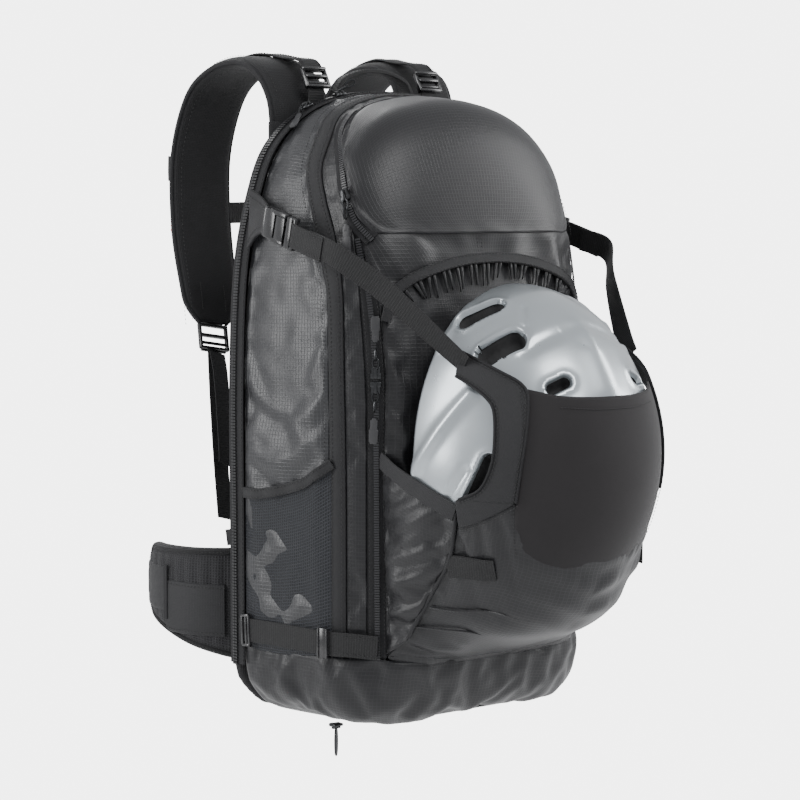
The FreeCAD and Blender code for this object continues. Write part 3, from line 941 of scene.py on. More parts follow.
silver = moulded(
    "helmet_silver", (0.36, 0.39, 0.41), 0.3, coat=0.4, grain=0.06, metallic=0.7, scale=60, relief=0.0,
)
foam_black = moulded("bead_foam", (0.02, 0.02, 0.021), 0.9, grain=0.6, scale=260, relief=1.0)

ball = half_ball(SHELL_GRID)
cell = HELMET_RADII.z * math.pi / 2 / SHELL_GRID
for vertex in ball.verts:
    if abs(vertex.co.y) < 0.002:
        vertex.co.y = 0
    vertex.co, out = on_helmet(Vector([HELMET[i] + vertex.co[i] * HELMET_RADII[i] for i in range(3)]))
    outside, way = on_vent(vertex.co)
    if abs(outside) < 0.62 * cell:
        vertex.co = on_helmet(vertex.co - way.normalized() * outside)[0]
holes = [f for f in ball.faces if on_vent(f.calc_center_median())[0] < 0]
bmesh.ops.delete(ball, geom=holes, context="FACES")
lip = [e for e in ball.edges if e.is_boundary and on_vent(e.verts[0].co)[0] < 0.3 * cell]
rim = [e for e in ball.edges if e.is_boundary and on_vent(e.verts[0].co)[0] >= 0.3 * cell]
for vertex in ball.verts:
    place, out = on_helmet(vertex.co)
    height = 0.0011 * math.exp(-(max(on_vent(place)[0], 0) / 0.0035) ** 2)
    shares = [d * math.exp(-(from_line(place, a, b)[0] / w) ** 2) for a, b, w, d in crease_lines]
    vertex.co = place + out * (height - max(0, *shares) - min(0, *shares))
for grow, sink in ((0.0006, 0.0007), (0.0012, VENT_LIP)):
    made = bmesh.ops.extrude_edge_only(ball, edges=lip)
    lip = [item for item in made["geom"] if isinstance(item, bmesh.types.BMEdge) and item.is_boundary]
    for vertex in {v for e in lip for v in e.verts}:
        _, way = on_vent(vertex.co)
        vertex.co -= on_helmet(vertex.co)[1] * sink + way.normalized() * grow
for inward in (0.0015, 0.006):
    made = bmesh.ops.extrude_edge_only(ball, edges=rim)
    rim = [item for item in made["geom"] if isinstance(item, bmesh.types.BMEdge) and item.is_boundary]
    for vertex in {v for e in rim for v in e.verts}:
        radial = Vector((vertex.co.x - HELMET.x, 0, vertex.co.z - HELMET.z)).normalized()
        vertex.co -= radial * inward
        vertex.co.y += 0.0008 if inward < 0.002 else 0
bmesh.ops.recalc_face_normals(ball, faces=ball.faces)
shell_mesh = bpy.data.meshes.new("helmet_shell_skin")
ball.to_mesh(shell_mesh)
ball.free()
shell_mesh.materials.append(silver)
for polygon in shell_mesh.polygons:
    polygon.use_smooth = True
piece = bpy.data.objects.new("helmet_shell_skin", shell_mesh)
bpy.context.scene.collection.objects.link(piece)
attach(piece, "helmet_holder")
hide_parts("helmet_shell")

ball = half_ball(LINER_GRID)
for vertex in ball.verts:
    if abs(vertex.co.y) < 0.002:
        vertex.co.y = 0
    place, out = on_helmet(Vector([HELMET[i] + vertex.co[i] * HELMET_RADII[i] for i in range(3)]))
    outside, _ = on_vent(place)
    share = min(max(-outside / 0.005, 0), 1)
    sunk = 0.0032 + VENT_DEPTH * share * share * (3 - 2 * share)
    vertex.co = place - out * (sunk + 0.0007 * noise.noise(place * 420))
bmesh.ops.recalc_face_normals(ball, faces=ball.faces)
liner_mesh = bpy.data.meshes.new("helmet_foam")
ball.to_mesh(liner_mesh)
ball.free()
liner_mesh.materials.append(foam_black)
for polygon in liner_mesh.polygons:
    polygon.use_smooth = True
piece = bpy.data.objects.new("helmet_foam", liner_mesh)
bpy.context.scene.collection.objects.link(piece)
wall = piece.modifiers.new("thickness", "SOLIDIFY")
wall.thickness = 0.009
wall.offset = -1
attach(piece, "helmet_holder")
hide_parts("helmet_liner")


# Stretch panel: dark elastic knit drawn over the helmet, with a hem along its top edge.
# It holds the helmet to the bag and stretches to fit its size.
def spread(grid, fit, lift, across, along):
    """Smooth sheet through a small grid of places in millimetres, laid on fit where that is given."""
    lines = [smooth_line(row, count=across) for row in grid]
    rows = [[] for _ in range(along)]
    for j in range(across):
        line = smooth_line([tuple(row[j] / MM) for row in lines], count=along)
        for i, p in enumerate(line):
            rows[i].append(fit(p, lift)[0] if fit else p)
    return rows


def half_to_full(row):
    return row + mirror_points([p for p in row if p[0] != 0])[::-1]


knit = textile(
    "stretch_knit", (0.017, 0.0158, 0.0166), 0.85, 0.0008, 0.0008, 0.1, sheen=0.12, grain=0.2, relief=0.2,
    gloss=0.2,
)
panel_grid = [half_to_full(row) for row in (
    [(-67, -296, 187), (-46, -315, 181), (-22, -325, 179), (0, -327, 178.5)],
    [(-70, -303, 155), (-47, -322, 150), (-22, -332, 148), (0, -335, 148)],
    [(-75, -303, 118), (-50, -321, 112), (-24, -332, 110), (0, -335, 110)],
    [(-74, -297, 85), (-50, -314, 76), (-25, -325, 75), (0, -328, 75)],
    [(-63, -289, 41), (-45, -299, 40), (-22, -309, 44), (0, -313, 46)],
)]
rows = spread(panel_grid, on_helmet, 0.0048, 60, 44)
piece = sheet_mesh("stretch_panel_cloth", rows, Vector((0, -1, 0)))
finish_cloth(piece, knit, "helmet_holder", thick=0.0016, levels=0)
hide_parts("stretch_panel")


def along_helmet(points, lift):
    line = even([on_helmet(p)[0] for p in smooth_line(points, SEAM_STEP)], SEAM_STEP)
    return directed(line, [on_helmet(p)[1] for p in line], lift)


hem = [(p[0], p[1] - 2, p[2] - 10) for p in panel_grid[0][1:-1]]
sew("helmet_holder", along_helmet(hem, 0.0052), pitch=0.0026)
for flip in (lambda p: p, mirror_points):
    sew("helmet_holder", along_helmet(flip([row[0] for row in panel_grid]), 0.0062), -0.001, pitch=0.003)


# Holder wings: stiff grey panels with double-stitched edges from the straps down beside the stretch panel.
# They spread the straps' pull over the stretch panel's sides.
LAID_STEP = 0.004
LAID_ACROSS = 10


def laid(name, edge_a, edge_b, fit, lift):
    """Sheet between two edges in millimetres, laid on fit."""
    line_a = smooth_line(edge_a, LAID_STEP)
    line_b = smooth_line(edge_b, count=len(line_a))
    rows = [
        [
            fit(a.lerp(b, j / (LAID_ACROSS - 1)), lift)[0] for j in range(LAID_ACROSS)
        ] for a, b in zip(line_a, line_b)
    ]
    return sheet_mesh(name, rows, fit(line_a[0], 0)[1])


wing_cloth = textile("wing_cloth", (0.014, 0.014, 0.0152), 0.66, 0.0014, 0.0014, 0.4, grain=0.25, sheen=0.05)
wing_outer = [
    (-83, -241, 214), (-79, -262, 206), (-73, -279, 198), (-66, -294, 190), (-64.5, -301, 180),
    (-69, -305, 155),
    (-74, -304, 124), (-75.5, -300, 98),
]
wing_inner = [
    (-91, -246, 194), (-88, -262, 187), (-85, -275, 179), (-84, -283, 170), (-86, -287, 150),
    (-88, -286, 128),
    (-92, -277, 108), (-98, -259, 99),
]
foot_outer = [(-75.5, -300, 98), (-80, -294, 93), (-88, -276, 83), (-95, -255, 74)]
foot_inner = [(-91, -278, 110), (-93, -273, 106), (-96, -264, 101), (-99, -256, 98)]
for side, flip in (("left", lambda p: p), ("right", mirror_points)):
    piece = laid("holder_wing_" + side, flip(wing_outer), flip(wing_inner), on_helmet, 0.0062)
    finish_cloth(piece, wing_cloth, "helmet_holder", thick=0.0022)
    if side == "left":
        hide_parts("holder_wings")
    piece = laid("holder_wing_foot_" + side, flip(foot_outer), flip(foot_inner), on_helmet, 0.0060)
    finish_cloth(piece, wing_cloth, "helmet_holder", thick=0.0022)
    outer = along_helmet(flip(wing_outer), 0.0064)
    inner = along_helmet(flip(wing_inner), 0.0064)
    across = 0.0024 if side == "left" else -0.0024
    sew("helmet_holder", outer, -across, pitch=0.003)
    sew("helmet_holder", inner, across, pitch=0.003)
    sew("helmet_holder", along_helmet(flip(foot_outer), 0.0064), across, pitch=0.003)
    for edge, frames in (("outer", outer), ("inner", inner)):
        swept(
            "wing_binding_" + edge + "_" + side, frames, round_cord(0.0011), tape_cloth, "helmet_holder",
        )


# Sling: gathered ripstop from the stretch panel down to the bag's lower seam.
sling_rows = [half_to_full(row) for row in (
    [(-96, -252, 76), (-86, -283, 88), (-75, -299, 98), (-50, -315, 92), (-24, -326, 88), (0, -329, 88)],
    [(-93, -238, 50), (-82, -274, 50), (-64, -289, 40), (-44, -301, 40), (-22, -311, 42), (0, -315, 44)],
    [(-93, -224, 26), (-84, -254, 24), (-66, -275, 18), (-44, -289, 14), (-22, -298, 12), (0, -301, 12)],
    [(-94, -206, 4), (-85, -230, 0), (-68, -250, -6), (-46, -264, -10), (-22, -272, -12), (0, -275, -12)],
    [
        (-98, -188, -20), (-86, -207, -22), (-66, -222, -25), (-44, -231, -27), (-22, -236, -28),
        (0, -238, -28),
    ],
    [
        (-103, -172, -40), (-86, -181, -42), (-66, -188, -43), (-44, -191, -44), (-22, -192, -44),
        (0, -193, -44),
    ],
)]
rows = spread(sling_rows, None, 0, 96, 60)
for i, row in enumerate(rows):
    for j, p in enumerate(row):
        edge = min(i, len(rows) - 1 - i, 8) / 8 * min(j, len(row) - 1 - j, 6) / 6
        fold = noise.noise(Vector((p.x * 14 + p.z * 26, p.x * 5, p.z * 60 - abs(p.x) * 22)))
        row[j] = p + Vector((0, -1, -0.4)).normalized() * (0.0046 * fold * edge)
piece = sheet_mesh("holder_sling_cloth", rows, Vector((0, -1, -0.5)))
settle(piece, 0.03, frames=16, gravity=0.6, cap=0.0018)
piece.data.materials.append(black_ripstop)
wall = piece.modifiers.new("thickness", "SOLIDIFY")
wall.thickness = 0.0014
wall.offset = -1
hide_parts("holder_sling")
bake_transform(piece)


def on_rows(rows, s, t):
    """A place on a sheet given by rows, s across and t along, with the outward direction there."""
    i = min(max(t * (len(rows) - 1), 0), len(rows) - 1.001)
    j = min(max(s * (len(rows[0]) - 1), 0), len(rows[0]) - 1.001)
    a, b = int(i), int(j)
    u, v = i - a, j - b
    p00, p01, p10, p11 = rows[a][b], rows[a][b + 1], rows[a + 1][b], rows[a + 1][b + 1]
    place = p00.lerp(p01, v).lerp(p10.lerp(p11, v), u)
    out = (p01 - p00 + p11 - p10).cross(p10 - p00 + p11 - p01).normalized()
    return place, out


def along_rows(rows, path, facing, lift, step=0.005):
    line = []
    outs = []
    for (s0, t0), (s1, t1) in zip(path, path[1:]):
        for k in range(12):
            place, out = on_rows(rows, s0 + (s1 - s0) * k / 12, t0 + (t1 - t0) * k / 12)
            line.append(place)
            outs.append(out if out.dot(facing) > 0 else -out)
    place, out = on_rows(rows, *path[-1])
    line.append(place)
    outs.append(out if out.dot(facing) > 0 else -out)
    fine = even(line, step)
    near = [outs[min(range(len(line)), key=lambda k: (line[k] - p).length_squared)] for p in fine]
    return directed(fine, near, lift)


FRONTWARD = Vector((0, -1, -0.3))
webbing_look = textile("webbing", (0.009, 0.009, 0.0095), 0.62, 0.0022, 0.0012, 0.3, grain=0.35, relief=0.6)
for side, s in (("left", (0.012, 0.17)), ("right", (0.988, 0.83))):
    frames = along_rows(rows, [(s[0], 0.27), (s[1], 0.3)], FRONTWARD, 0.0012)
    piece = swept(
        "sling_webbing_" + side, frames, flat(0.0185, 0.0016), webbing_look, "helmet_holder",
    )
for t in (0.5, 0.66):
    path = [(0.02, t + 0.08), (0.2, t + 0.03), (0.5, t), (0.8, t + 0.03), (0.98, t + 0.08)]
    frames = along_rows(rows, path, FRONTWARD, 0.0006)
    piece = swept("sling_seam_%d" % (t * 100), frames, round_cord(0.0009, 6), black_ripstop, None)
    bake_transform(piece)


# Holder gussets: soft gathered sides between the bag and the sling, with a bound hem along the top.
# They close the holder's sides.
gusset_rows = [
    [(-106, -168, 126), (-108, -186, 119), (-108, -205, 111), (-104, -228, 101), (-97, -252, 90)],
    [(-105, -168, 84), (-110, -184, 82), (-110, -202, 78), (-105, -224, 74), (-96, -248, 70)],
    [(-104, -169, 40), (-109, -180, 42), (-110, -196, 42), (-104, -216, 42), (-93, -238, 46)],
    [(-104, -170, 0), (-107, -177, 4), (-107, -188, 6), (-102, -200, 8), (-93, -214, 14)],
    [(-103, -170, -38), (-104, -173, -36), (-104, -178, -34), (-102, -184, -30), (-98, -190, -24)],
]
for side, flip in (("left", lambda p: p), ("right", mirror_points)):
    rows = spread([flip(row) for row in gusset_rows], None, 0, 26, 52)
    facing = Vector((-1 if side == "left" else 1, -0.3, 0))
    for i, row in enumerate(rows):
        for j, p in enumerate(row):
            edge = min(i, len(rows) - 1 - i, 6) / 6 * min(j, len(row) - 1 - j, 3) / 3
            fold = noise.noise(Vector((p.y * 24, 3.0, p.z * 88 + p.y * 30)))
            row[j] = p + facing.normalized() * (0.0052 * fold * edge)
    piece = sheet_mesh("holder_gusset_" + side, rows, facing)
    settle(piece, 0.03, frames=14, cap=0.004, gravity=0.5)
    piece.data.materials.append(black_ripstop)
    finer = piece.modifiers.new("finer", "SUBSURF")
    finer.levels = 1
    finer.render_levels = 1
    wall = piece.modifiers.new("thickness", "SOLIDIFY")
    wall.thickness = 0.0014
    wall.offset = -1
    if side == "left":
        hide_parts("holder_gussets")
    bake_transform(piece)
    frames = along_rows(rows, [(0, 0.025), (0.5, 0.025), (1, 0.025)], facing, 0.0008)
    piece = swept("gusset_hem_" + side, frames, flat(0.0135, 0.0018), wing_cloth, None)
    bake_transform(piece)
    frames = along_rows(rows, [(1, 0.02), (1, 0.5), (1, 0.98)], facing, 0.0006)
    piece = swept("gusset_piping_" + side, frames, round_cord(0.0016), wing_cloth, None)
    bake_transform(piece)


# Hardware: glossy black acetal, moulded with eased edges.
# Buckles, loops and locks are all of the same black plastic.
acetal = moulded("acetal", (0.010, 0.010, 0.011), 0.26, coat=0.15, relief=0.05)


def moulding(name, place, along, out, blocks, material, body):
    """Moulded part made of eased blocks, each (centre, size, easing) in mm along, across and out."""
    bm = bmesh.new()
    along = along.normalized()
    out = (out - along * out.dot(along)).normalized()
    side = out.cross(along)
    for centre, size, ease in blocks:
        corners = bmesh.ops.create_cube(bm, size=1)["verts"]
        for vertex in corners:
            vertex.co = Vector([(vertex.co[i] * size[i] + centre[i]) * MM for i in range(3)])
        edges = list({e for v in corners for e in v.link_edges})
        bmesh.ops.bevel(bm, geom=edges, offset=ease * MM, segments=2, profile=0.5, affect="EDGES")
    turn = Matrix((along, side, out)).transposed().to_4x4()
    bmesh.ops.transform(bm, matrix=Matrix.Translation(place) @ turn, verts=bm.verts)
    mesh = bpy.data.meshes.new(name)
    bm.to_mesh(mesh)
    bm.free()
    mesh.materials.append(material)
    for polygon in mesh.polygons:
        polygon.use_smooth = True
    mesh.set_sharp_from_angle(angle=math.radians(35))
    piece = bpy.data.objects.new(name, mesh)
    bpy.context.scene.collection.objects.link(piece)
    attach(piece, body)
    return piece


def ring(length, width, bar, height, ease=0.8):
    """Blocks of a rectangular loop, lying flat."""
    return [
        (
            (-(length - bar) / 2, 0, 0), (bar, width, height), ease,
        ), (((length - bar) / 2, 0, 0), (bar, width, height), ease),
        (
            (0, -(width - bar) / 2, 0), (length, bar, height), ease,
        ), ((0, (width - bar) / 2, 0), (length, bar, height), ease),
    ]


# Side pockets: bluish mesh pouches with a gathered elastic hem that rises towards the front.
# Each has a bound hem and is sewn down at its other edges.
mesh_cloth = textile(
    "pocket_mesh", (0.009, 0.010, 0.0125), 0.55, 0.0026, 0.0026, 0.45, grain=0.9, relief=0.9, gloss=0.3,
)
pouch_rows = [
    [(-152, -36, -46), (-148, -58, -48), (-141, -88, -47), (-135, -112, -44), (-130, -134, -39)],
    [(-152, -36, -12), (-150, -58, -12), (-145, -86, -12), (-137, -112, -10), (-131, -134, -4)],
    [(-152, -36, 30), (-152, -58, 30), (-147, -86, 32), (-139, -112, 34), (-131, -134, 40)],
    [(-152, -36, 66), (-152, -58, 66), (-147, -86, 70), (-139, -112, 76), (-131, -134, 84)],
    [(-152, -36, 88), (-150, -58, 89), (-145, -86, 95), (-138, -112, 104), (-131, -134, 120)],
]
POUCH_PROUD = 0.0035
for side, flip in (("left", lambda p: p), ("right", mirror_points)):
    rows = spread([flip(row) for row in pouch_rows], None, 0, 34, 56)
    facing = Vector((-1 if side == "left" else 1, 0, 0))
    for i, row in enumerate(rows):
        for j, p in enumerate(row):
            base, out = on_form(p)
            t = i / (len(rows) - 1)
            edge = min(j, len(row) - 1 - j, 5) / 5
            fold = noise.noise(Vector((p.y * 42, 7.0, p.z * 16))) * (0.35 + 0.65 * t)
            proud = 0.0014 + edge * min(1, i / 8) * (POUCH_PROUD + 0.003 * fold)
            pleat = 0.0012 * math.sin(p.y / 0.0042) * edge * math.exp(-((1 - t) / 0.1) ** 2)
            row[j] = base + out * max(0.0012, proud + pleat)
    piece = sheet_mesh("mesh_pocket_" + side, rows, facing)
    finish_cloth(piece, mesh_cloth, "main_bag", thick=0.0009)
    if side == "left":
        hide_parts("mesh_pockets")
    frames = along_rows(
        rows, [(0, 0.985), (0.25, 0.985), (0.5, 0.985), (0.75, 0.985), (1, 0.985)], facing, 0.0004, 0.003,
    )
    swept("mesh_hem_" + side, frames, flat(0.009, 0.0022), band_cloth, "main_bag")
    for across in (-0.0028, 0.0028):
        sew("main_bag", frames, across, 0.0024)


# Lower straps: webbing across each side pocket, from a loop buckle at the rear to the front corner.
# A keeper near its front end holds it flat.
def on_pouch(points, proud):
    line = even([on_form(Vector(p) * MM)[0] for p in points], 0.004)
    line = even(
        [on_form(p)[0] for p in smooth_line([tuple(q / MM) for q in line[::6] + line[-1:]], 0.004)], 0.004,
    )
    return directed(line, [on_form(p)[1] for p in line], proud)


lower_line = [
    (-151, -34, -31), (-147, -54, -30), (-141, -88, -30), (-133, -118, -30), (-124, -144, -30),
    (-108, -166, -32),
]
for side, flip in (("left", lambda p: p), ("right", mirror_points)):
    frames = on_pouch(flip(lower_line), 0.0056)
    swept("lower_strap_" + side, frames, flat(0.020, 0.0016), webbing_look, "main_bag")
    for across in (-0.007, 0.007):
        sew("main_bag", frames[-8:], across, 0.0018)
    place, along, out = frames[2]
    piece = moulding(
        "lower_loop_" + side, place + out * 0.0012, along, out,
        ring(10.5, 28, 2.8, 3.4, 1.2) + [((1, 0, 0.6), (2.4, 26, 2.6), 1.0)], acetal, "main_bag",
    )
    if side == "left":
        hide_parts("lower_straps", "lower_buckles")
    place, along, out = frames[-12]
    moulding(
        "lower_keeper_" + side, place + out * 0.001, along, out,
        [
            ((0, 0, 1.4), (9, 25, 2.0), 0.8), ((-4.2, 0, 1.9), (2, 25, 2.8), 0.8),
            ((4.2, 0, 1.9), (2, 25, 2.8), 0.8),
        ],
        acetal, "main_bag",
    )


# Holder straps: a fabric anchor and a side-release buckle high on each side, then webbing to the wing.
# A doubled and stitched tab of webbing carries the buckle's tongue.
ALONG = Vector((0, -69.0, -19.0)).normalized()
BUCKLE = Vector((-147, -86, 309))


def strap_place(distance, lift):
    return tuple(BUCKLE + ALONG * distance + Vector((-lift, 0, 0)))


def mirrored_vector(v, side):
    return Vector((-v.x, v.y, v.z)) if side == "right" else v


for side, flip in (("left", lambda p: p), ("right", mirror_points)):
    anchor_rows = [
        flip([(-143, -33, 342), (-143, -33, 318), (-146, -33, 290)]),
        flip([(-142, -46, 336), (-144, -46, 319), (-146, -46, 302)]),
        flip([(-145, -62, 328), (-146, -62, 317), (-147, -62, 306)]),
    ]
    rows = spread(anchor_rows, None, 0, 12, 14)
    facing = Vector((-1 if side == "left" else 1, 0, 0))
    piece = sheet_mesh("holder_anchor_" + side, rows, facing)
    finish_cloth(piece, wing_cloth, "main_bag", thick=0.0024)
    if side == "left":
        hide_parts("holder_anchors", "holder_buckle_sockets")
    for s in (0.12, 0.88):
        sew("main_bag", along_rows(rows, [(s, 0.05), (0.5 + (s - 0.5) * 0.8, 0.9)], facing, 0.0004))
    place = mirrored_vector(Vector(strap_place(0, 0)), side) * MM
    along = mirrored_vector(ALONG, side)
    moulding(
        "holder_socket_" + side, place, along, facing,
        [
            ((-14, 0, 0), (15, 26, 8), 2.2), (
                (-3, -11.5, 0), (22, 4.5, 8), 1.8,
            ), ((-3, 11.5, 0), (22, 4.5, 8), 1.8),
            ((2, 0, 3.4), (12, 20, 1.6), 0.7), (
                (2, 0, -3.4), (12, 20, 1.6), 0.7,
            ), ((-24, 0, 0), (3, 24, 4), 1.2),
            ((-20, -11.5, 0), (9, 3, 4), 1.0), ((-20, 11.5, 0), (9, 3, 4), 1.0),
        ],
        acetal, "main_bag",
    )
    body = "holder_buckle_" + side
    piece = moulding(
        "holder_tongue_" + side, place, along, facing,
        [
            ((14, 0, 0), (8, 27, 8), 2.0), (
                (20.5, 0, 1.5), (3, 27, 4.5), 1.2,
            ), ((1, 0, 0), (18, 4, 3.4), 0.9),
            (
                (3, -7.6, 0), (17, 3, 4.2), 1.1,
            ), ((3, 7.6, 0), (17, 3, 4.2), 1.1), ((17.5, -12, 0), (7, 3, 6), 1.1),
            ((17.5, 12, 0), (7, 3, 6), 1.1),
        ],
        acetal, body,
    )
    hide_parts("holder_buckle_" + side)
    tab_side = mirrored_vector(Vector((0, 0.265, -0.964)), side)
    path = flip(
        [
            strap_place(18.5, 2.2), strap_place(24, 4.2), strap_place(36, 4.4), strap_place(50, 4.2),
            strap_place(64, 3.8),
        ]
    )
    frames = along_free(path, tab_side, 0.003)
    frames = turned(frames, 3, facing)
    swept("holder_tab_" + side, frames, flat(0.020, 0.0024, -0.0012), webbing_look, body)
    for across in (-0.0075, 0.0075):
        sew(body, frames[9:], across, 0.0014)
    path = flip(
        [strap_place(42, 1.6), strap_place(78, 1.4), (-124, -191, 262), (-96, -237, 217), (-88, -252, 203)]
    )
    sides = [Vector((0, 0.3, -0.95)), Vector((0.05, 0.3, -0.95)), Vector((0.3, 0.55, -0.78))]
    sides = [mirrored_vector(v, side) for v in sides]
    frames = along_free(path, sides, 0.004)
    frames = turned(frames, 3, facing)
    piece = swept("holder_strap_" + side, frames, flat(0.020, 0.0016, -0.0008), webbing_look, None)
    if side == "left":
        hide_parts("holder_straps")
    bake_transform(piece)


# Shoulder straps: curved foam straps in black knit with bound edges, sewn to the yoke and hanging
# down behind the pack to their ladder locks.
strap_cloth = textile(
    "strap_cloth", (0.010, 0.010, 0.0108), 0.8, 0.0016, 0.0016, 0.3, grain=0.3, sheen=0.08, relief=0.5,
)
STRAP_HALF = 0.0302
STRAP_HALF_THICK = 0.0059
strap_path = [
    (-68, -5.5, 366), (-69, -4.5, 392), (-70.5, -1, 420), (-73, 16, 443), (-73, 47, 452.5), (-75, 87, 446),
    (-77, 119, 423),
    (-81, 136, 371), (-86, 128, 307), (-95, 102, 248), (-100, 90, 221),
]


def strap_profile(t):
    h = STRAP_HALF * (1 - 0.16 * max(0, (t - 0.72) / 0.28) ** 2 - 0.4 * max(0, (t - 0.94) / 0.06) ** 2)
    k = STRAP_HALF_THICK * min(1, 0.4 + t * 5) * (1 - 0.3 * max(0, (t - 0.93) / 0.07))
    upper = [
        (-1, 0.28), (-0.93, 0.68), (-0.75, 0.93), (-0.4, 1), (0, 1), (0.4, 1), (0.75, 0.93), (0.93, 0.68),
        (1, 0.28),
    ]
    return [(a * h, b * k) for a, b in upper] + [(a * h, -b * k) for a, b in upper[::-1]]


for side, flip in (("left", lambda p: p), ("right", mirror_points)):
    frames = along_free(flip(strap_path), Vector((1, 0, 0)), 0.006)
    frames = turned(frames, len(frames) // 2, Vector((0, 1, 0)))
    piece = swept(
        "shoulder_strap_" + side, frames, strap_profile, strap_cloth, None, sharp=70, levels=1,
    )
    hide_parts(side + "_shoulder_strap")
    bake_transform(piece)
    for edge in (-1, 1):
        line = [
            (p + o.cross(a) * edge * (strap_profile(k / (len(frames) - 1))[8][0]), a, o)
            for k, (p, a, o) in enumerate(frames)
        ]
        binding = swept("strap_binding_%s_%s" % ("inner" if edge > 0 else "outer", side), line,
                        round_cord(0.0019, 8, 1.25), tape_cloth, None)
        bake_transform(binding)
        sew("shoulder_harness", frames[10:], edge * 0.0238, STRAP_HALF_THICK * 1.0, 0.004)
        sew("shoulder_harness", frames[10:], edge * 0.0238, -STRAP_HALF_THICK * 1.08, 0.004)
    for across in (-0.012, 0.012):
        sew("shoulder_harness", frames[-7:-2], across, -STRAP_HALF_THICK * 1.05, 0.002)

    # Ladder lock and the webbing below it.
    end, along, out = frames[-1]
    piece = moulding(
        "strap_ladder_lock_" + side, end + along * 0.0125, along, out,
        ring(25, 30, 3, 4.5, 1.2) + [((-1.5, 0, 1), (3.2, 26, 4.6), 1.2), ((6, 0, 0.4), (2.6, 26, 3.4), 1.0),
                                     ((12.4, 0, 2), (3, 26, 3), 1.2)],
        acetal, "shoulder_harness",
    )
    if side == "left":
        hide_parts("strap_adjusters")
    path = flip(
        [
            (-103.2, 81.5, 199), (-104.6, 78.6, 188), (-110, 68, 156), (-117, 53, 112), (-123.5, 38, 72),
            (-126.4, 31, 54),
        ]
    )
    lower = along_free(path, Vector((1, 0.35, 0)) if side == "left" else Vector((1, -0.35, 0)), 0.005)
    piece = swept(
        "lower_webbing_" + side, lower, flat(0.0195, 0.0016, -0.0008), webbing_look, "shoulder_harness",
    )
    if side == "left":
        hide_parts("adjuster_webbing")
    tail = flip([(-104, 76, 196), (-107, 66, 176), (-112, 54, 140), (-116, 45, 108), (-118, 42, 100)])
    hanging = along_free(tail, Vector((1, 0.35, 0)) if side == "left" else Vector((1, -0.35, 0)), 0.005)
    swept(
        "webbing_tail_" + side, hanging, flat(0.0195, 0.0014, -0.0007), webbing_look, "shoulder_harness",
    )

    # Load lifter: folded webbing from the strap's crown to a ladder lock on the pack's top edge.
    path = flip(
        [(-62, -13, 446), (-62, -4, 453), (-62, 20, 456), (-65, 50, 460.6), (-68, 78, 457.5), (-69, 88, 454)]
    )
    lifter = along_free(path, Vector((1, 0, 0)), 0.005)
    lifter = turned(lifter, 4, Vector((0, 0, 1)))
    swept(
        "load_lifter_" + side, lifter, flat(0.0205, 0.0018, -0.0009), webbing_look, "shoulder_harness",
    )
    for across in (-0.008, 0.008):
        sew("shoulder_harness", lifter, across, 0.0012)
    x = -62 if side == "left" else 62
    piece = moulding(
        "load_lifter_lock_" + side, Vector((x, -16.5, 437)) * MM, Vector((0, 0.55, 1)), Vector((0, -1, 0.3)),
        ring(19, 26, 3, 5, 1.3) + [((1, 0, 1.2), (3.4, 22, 5), 1.3), ((-4.6, 0, 0), (2.4, 22, 3.4), 0.9),
                                   ((8.6, 0, 2.4), (3, 25, 3), 1.2)],
        acetal, "back_panel",
    )
    if side == "left":
        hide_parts("load_lifter_buckles")
    loop = along_free(
        [(x, -14, 400), (x, -17, 418), (x, -18, 430), (x, -16, 433), (x, -13, 428)], Vector((1, 0, 0)),
        0.003,
    )
    swept(
        "load_lifter_loop_" + side, loop, flat(0.0165, 0.0016, -0.0008), webbing_look, "back_panel",
    )


# Grab handle: a narrow webbing loop on the panel's top edge, its ends sewn under the main zip.
# It folds down against the bag.
handle_path = [
    (-41, -16, 426), (-33, -16, 437), (-15, -16, 443.5), (0, -16, 445), (15, -16, 443.5), (33, -16, 437),
    (41, -16, 426),
]
frames = along_free(handle_path, Vector((0, 1, 0)), 0.004)
frames = turned(frames, len(frames) // 2, Vector((0, 0, 1)))
piece = swept(
    "grab_handle_webbing", frames, flat(0.0115, 0.0036, -0.0018), webbing_look, "grab_handle",
)
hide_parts("grab_handle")
for across in (-0.004, 0.004):
    sew("grab_handle", frames, across, 0.002)


# Chest strap: webbing between two sliding rail clips, with a side-release buckle and its pale clip.
# It slides up and down on its rails to fit the wearer.
rail_line = [(-84, 141.4, 352), (-84, 138.4, 325), (-84, 133.8, 294)]
for side, flip in (("left", lambda p: p), ("right", mirror_points)):
    frames = along_free(flip(rail_line), Vector((1, 0, 0)), 0.004)
    frames = turned(frames, 2, Vector((0, 1, 0)))
    piece = swept(
        "chest_rail_" + side, frames, round_cord(0.0036, 10, 0.5), webbing_look, "shoulder_harness",
    )
    if side == "left":
        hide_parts("chest_strap_rails")
    x = -82 if side == "left" else 82
    toward = Vector((1, 0, 0)) if side == "left" else Vector((-1, 0, 0))
    piece = moulding(
        "chest_clip_" + side, Vector((x, 145.3, 321)) * MM, toward, Vector((0, 1, 0)),
        ring(19, 21, 3.4, 6, 1.4) + [((-3, 0, 0), (9, 17, 5.6), 1.5), ((4, 0, 0), (2.4, 18, 4), 1)],
        acetal, "chest_strap",
    )
    if side == "left":
        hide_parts("chest_webbing")
    inner = 24 if side == "left" else 26
    path = flip([(-75, 144.6, 321), (-62, 144.9, 320.8), (-44, 144.4, 320.6), (-inner, 144.2, 321)])
    frames = along_free(path, Vector((0, 0, 1)), 0.004)
    frames = turned(frames, 2, Vector((0, 1, 0)))
    swept(
        "chest_strap_webbing_" + side, frames, flat(0.0195, 0.0016, -0.0008), webbing_look, "chest_strap",
    )
across_chest = Vector((1, 0, 0))
wearerward = Vector((0, 1, 0))
